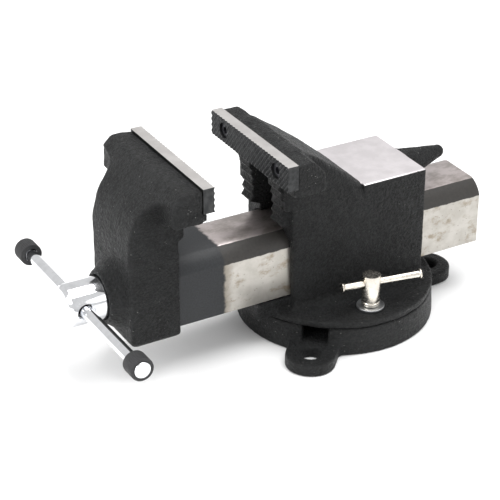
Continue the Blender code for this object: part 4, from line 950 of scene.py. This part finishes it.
def handle():
    """The sliding bar with a cap and a rubber sleeve at each end."""
    centre = (0, BAR_Y, SCREW_Z)
    outline = rounded([(0, -124.7), (6, -124.7), (6, 134.7), (0, 134.7)], 0.6, 3)
    handle_part(turned("handle_rod", outline, "X", centre, CHROME, 72), "chrome", "handle_bar")
    for label, end, inward in HANDLE_ENDS:
        marks = [(0, 0), (8.0, 0), (8.0, 16.0), (6.3, 16.0), (6.3, 5.0), (0, 5.0)]
        outline = rounded([(radius, end + inward * along) for radius, along in marks], 0.9, 3)
        knob = turned(f"handle_cap_{label}", outline, "X", centre, CHROME, 72)
        handle_part(knob, "chrome", f"handle_knob_{label}")
        marks = [(9.6, 0.8), (11.4, 0.8), (11.4, 18.2), (9.6, 18.2)]
        outer = rounded([(radius, end + inward * along) for radius, along in marks], 1.8, 5)
        marks = [(9.6, 18.2), (6.8, 18.2), (6.8, 16.3), (8.3, 16.3), (8.3, 0.8), (9.6, 0.8)]
        inside = rounded([(radius, end + inward * along) for radius, along in marks], 0.4, 2)
        outline = outer + inside[1:-1]
        bumper = turned(f"handle_sleeve_{label}", outline, "X", centre, RUBBER, 216, grip_ribs, True)
        handle_part(bumper, "rubber", f"handle_bumper_{label}")


handle()


# ---------------------------------------------------------------- lock bolts
def lock_set(label, side):
    """A swivel lock: washer, bolt, and the bar that slides through its head."""
    centre = (side * LOCK_X, LOCK_Y, 0)
    washer = ring(f"lock_ring_{label}", 5.5, 14, 37.3, 39.7, "Z", centre, ZINC, 0.6)
    belongs(washer, "body", "zinc", f"lock_washer_{label}")
    outline = [(0, 13.6), (5, 13.6), (5, 40.2), (9.2, 40.2), (9.2, 43.7)]
    outline += [(8.5, 44.5), (9.2, 45.3), (9.2, 73.9), (0, 73.9)]
    bolt = turned(f"lock_stud_{label}", rounded(outline, 0.8, 3), "Z", centre, NICKEL, 96)
    pivot = (centre[0], LOCK_Y, LOCK_BAR_Z)
    half = [(0, 20), (7, 20), (5.4, 9.6), (4.1, 8.2)]
    flare = [(radius, -along) for radius, along in half] + half[::-1]
    way = turned("bar_way", flare, "Y", pivot, NICKEL, 48)
    spun(way, pivot, "Z", -side * LOCK_BAR_TURN)
    cut_from(bolt, way, 30)
    belongs(bolt, f"lock_{label}", "nickel", f"lock_bolt_{label}")
    marks = [(0, -31.8), (5.2, -31.8), (5.2, -30.6), (3.6, -29.4)]
    marks += [(3.6, 50.8), (5.2, 52.0), (5.2, 53.2), (0, 53.2)]
    bar = turned(f"lock_bar_{label}", rounded(marks, 0.7, 3), "Y", pivot, NICKEL, 48)
    spun(bar, pivot, "Z", -side * LOCK_BAR_TURN)
    belongs(bar, f"tbar_{label}", "nickel", f"lock_tbar_{label}")


for label, side in (("near", 1), ("far", -1)):
    lock_set(label, side)


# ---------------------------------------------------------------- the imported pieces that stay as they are
def repaint(node, material):
    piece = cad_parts[node]
    for number in range(len(piece.material_slots)):
        piece.material_slots[number].material = material


for node in ("pivot_bolt", "nut_bolt", "lock_nut_near", "lock_nut_far"):
    repaint(node, BLACK_STEEL)
for node in ("pivot_washer", "collar_pin"):
    repaint(node, ZINC)
repaint("spindle_nut", NUT_IRON)


# ---------------------------------------------------------------- floor, light and camera
def floor():
    paint = Paint("floor_look", 0.0, 0.75)
    paint.colour(paint.mix(paint.noise(120, 3), (0.90, 0.90, 0.90), (0.94, 0.94, 0.94)))
    material = paint.bump((paint.noise(6, 3), 0.01))
    half = 6000
    points = [(-half, -half, -0.6), (half, -half, -0.6), (half, half, -0.6), (-half, half, -0.6)]
    mesh_piece("floor", points, [(0, 1, 2, 3)], material, smooth=False)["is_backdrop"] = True


def soft_light(name, place, size, power):
    data = bpy.data.lights.new(name, "AREA")
    data.shape = "DISK"
    data.size = size
    data.energy = power
    lamp = bpy.data.objects.new(name, data)
    lamp.location = place
    lamp.rotation_mode = "QUATERNION"
    lamp.rotation_quaternion = (Vector((0, -0.06, 0.1)) - Vector(place)).to_track_quat("-Z", "Y")
    bpy.context.scene.collection.objects.link(lamp)


def camera():
    azimuth, height, roll = (math.radians(value) for value in (60.71, 29.10, -0.04))
    level = math.cos(height)
    back = Vector((math.sin(azimuth) * level, -math.cos(azimuth) * level, math.sin(height)))
    data = bpy.data.cameras.new("camera")
    data.lens = 121.9
    data.sensor_width = 36
    data.clip_start = 0.05
    data.clip_end = 30
    made = bpy.data.objects.new("camera", data)
    turn = (-back).to_track_quat("-Z", "Y").to_matrix().to_4x4() @ Matrix.Rotation(roll, 4, "Z")
    made.matrix_world = Matrix.Translation((1.2770, -0.8162, 0.9053)) @ turn
    bpy.context.scene.collection.objects.link(made)
    bpy.context.scene.camera = made


floor()
soft_light("overhead", (0.1, 0.1, 1.6), 1.4, 26)
soft_light("front_left", (0.2, -1.7, 0.9), 1.1, 16)
soft_light("right", (1.6, 0.8, 0.8), 1.0, 5)
world = bpy.data.worlds.new("studio")
world.use_nodes = True
world.node_tree.nodes["Background"].inputs["Color"].default_value = (1, 1, 1, 1)
world.node_tree.nodes["Background"].inputs["Strength"].default_value = 0.75
bpy.context.scene.world = world
bpy.context.scene.view_settings.view_transform = "Standard"
camera()

low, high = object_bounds()
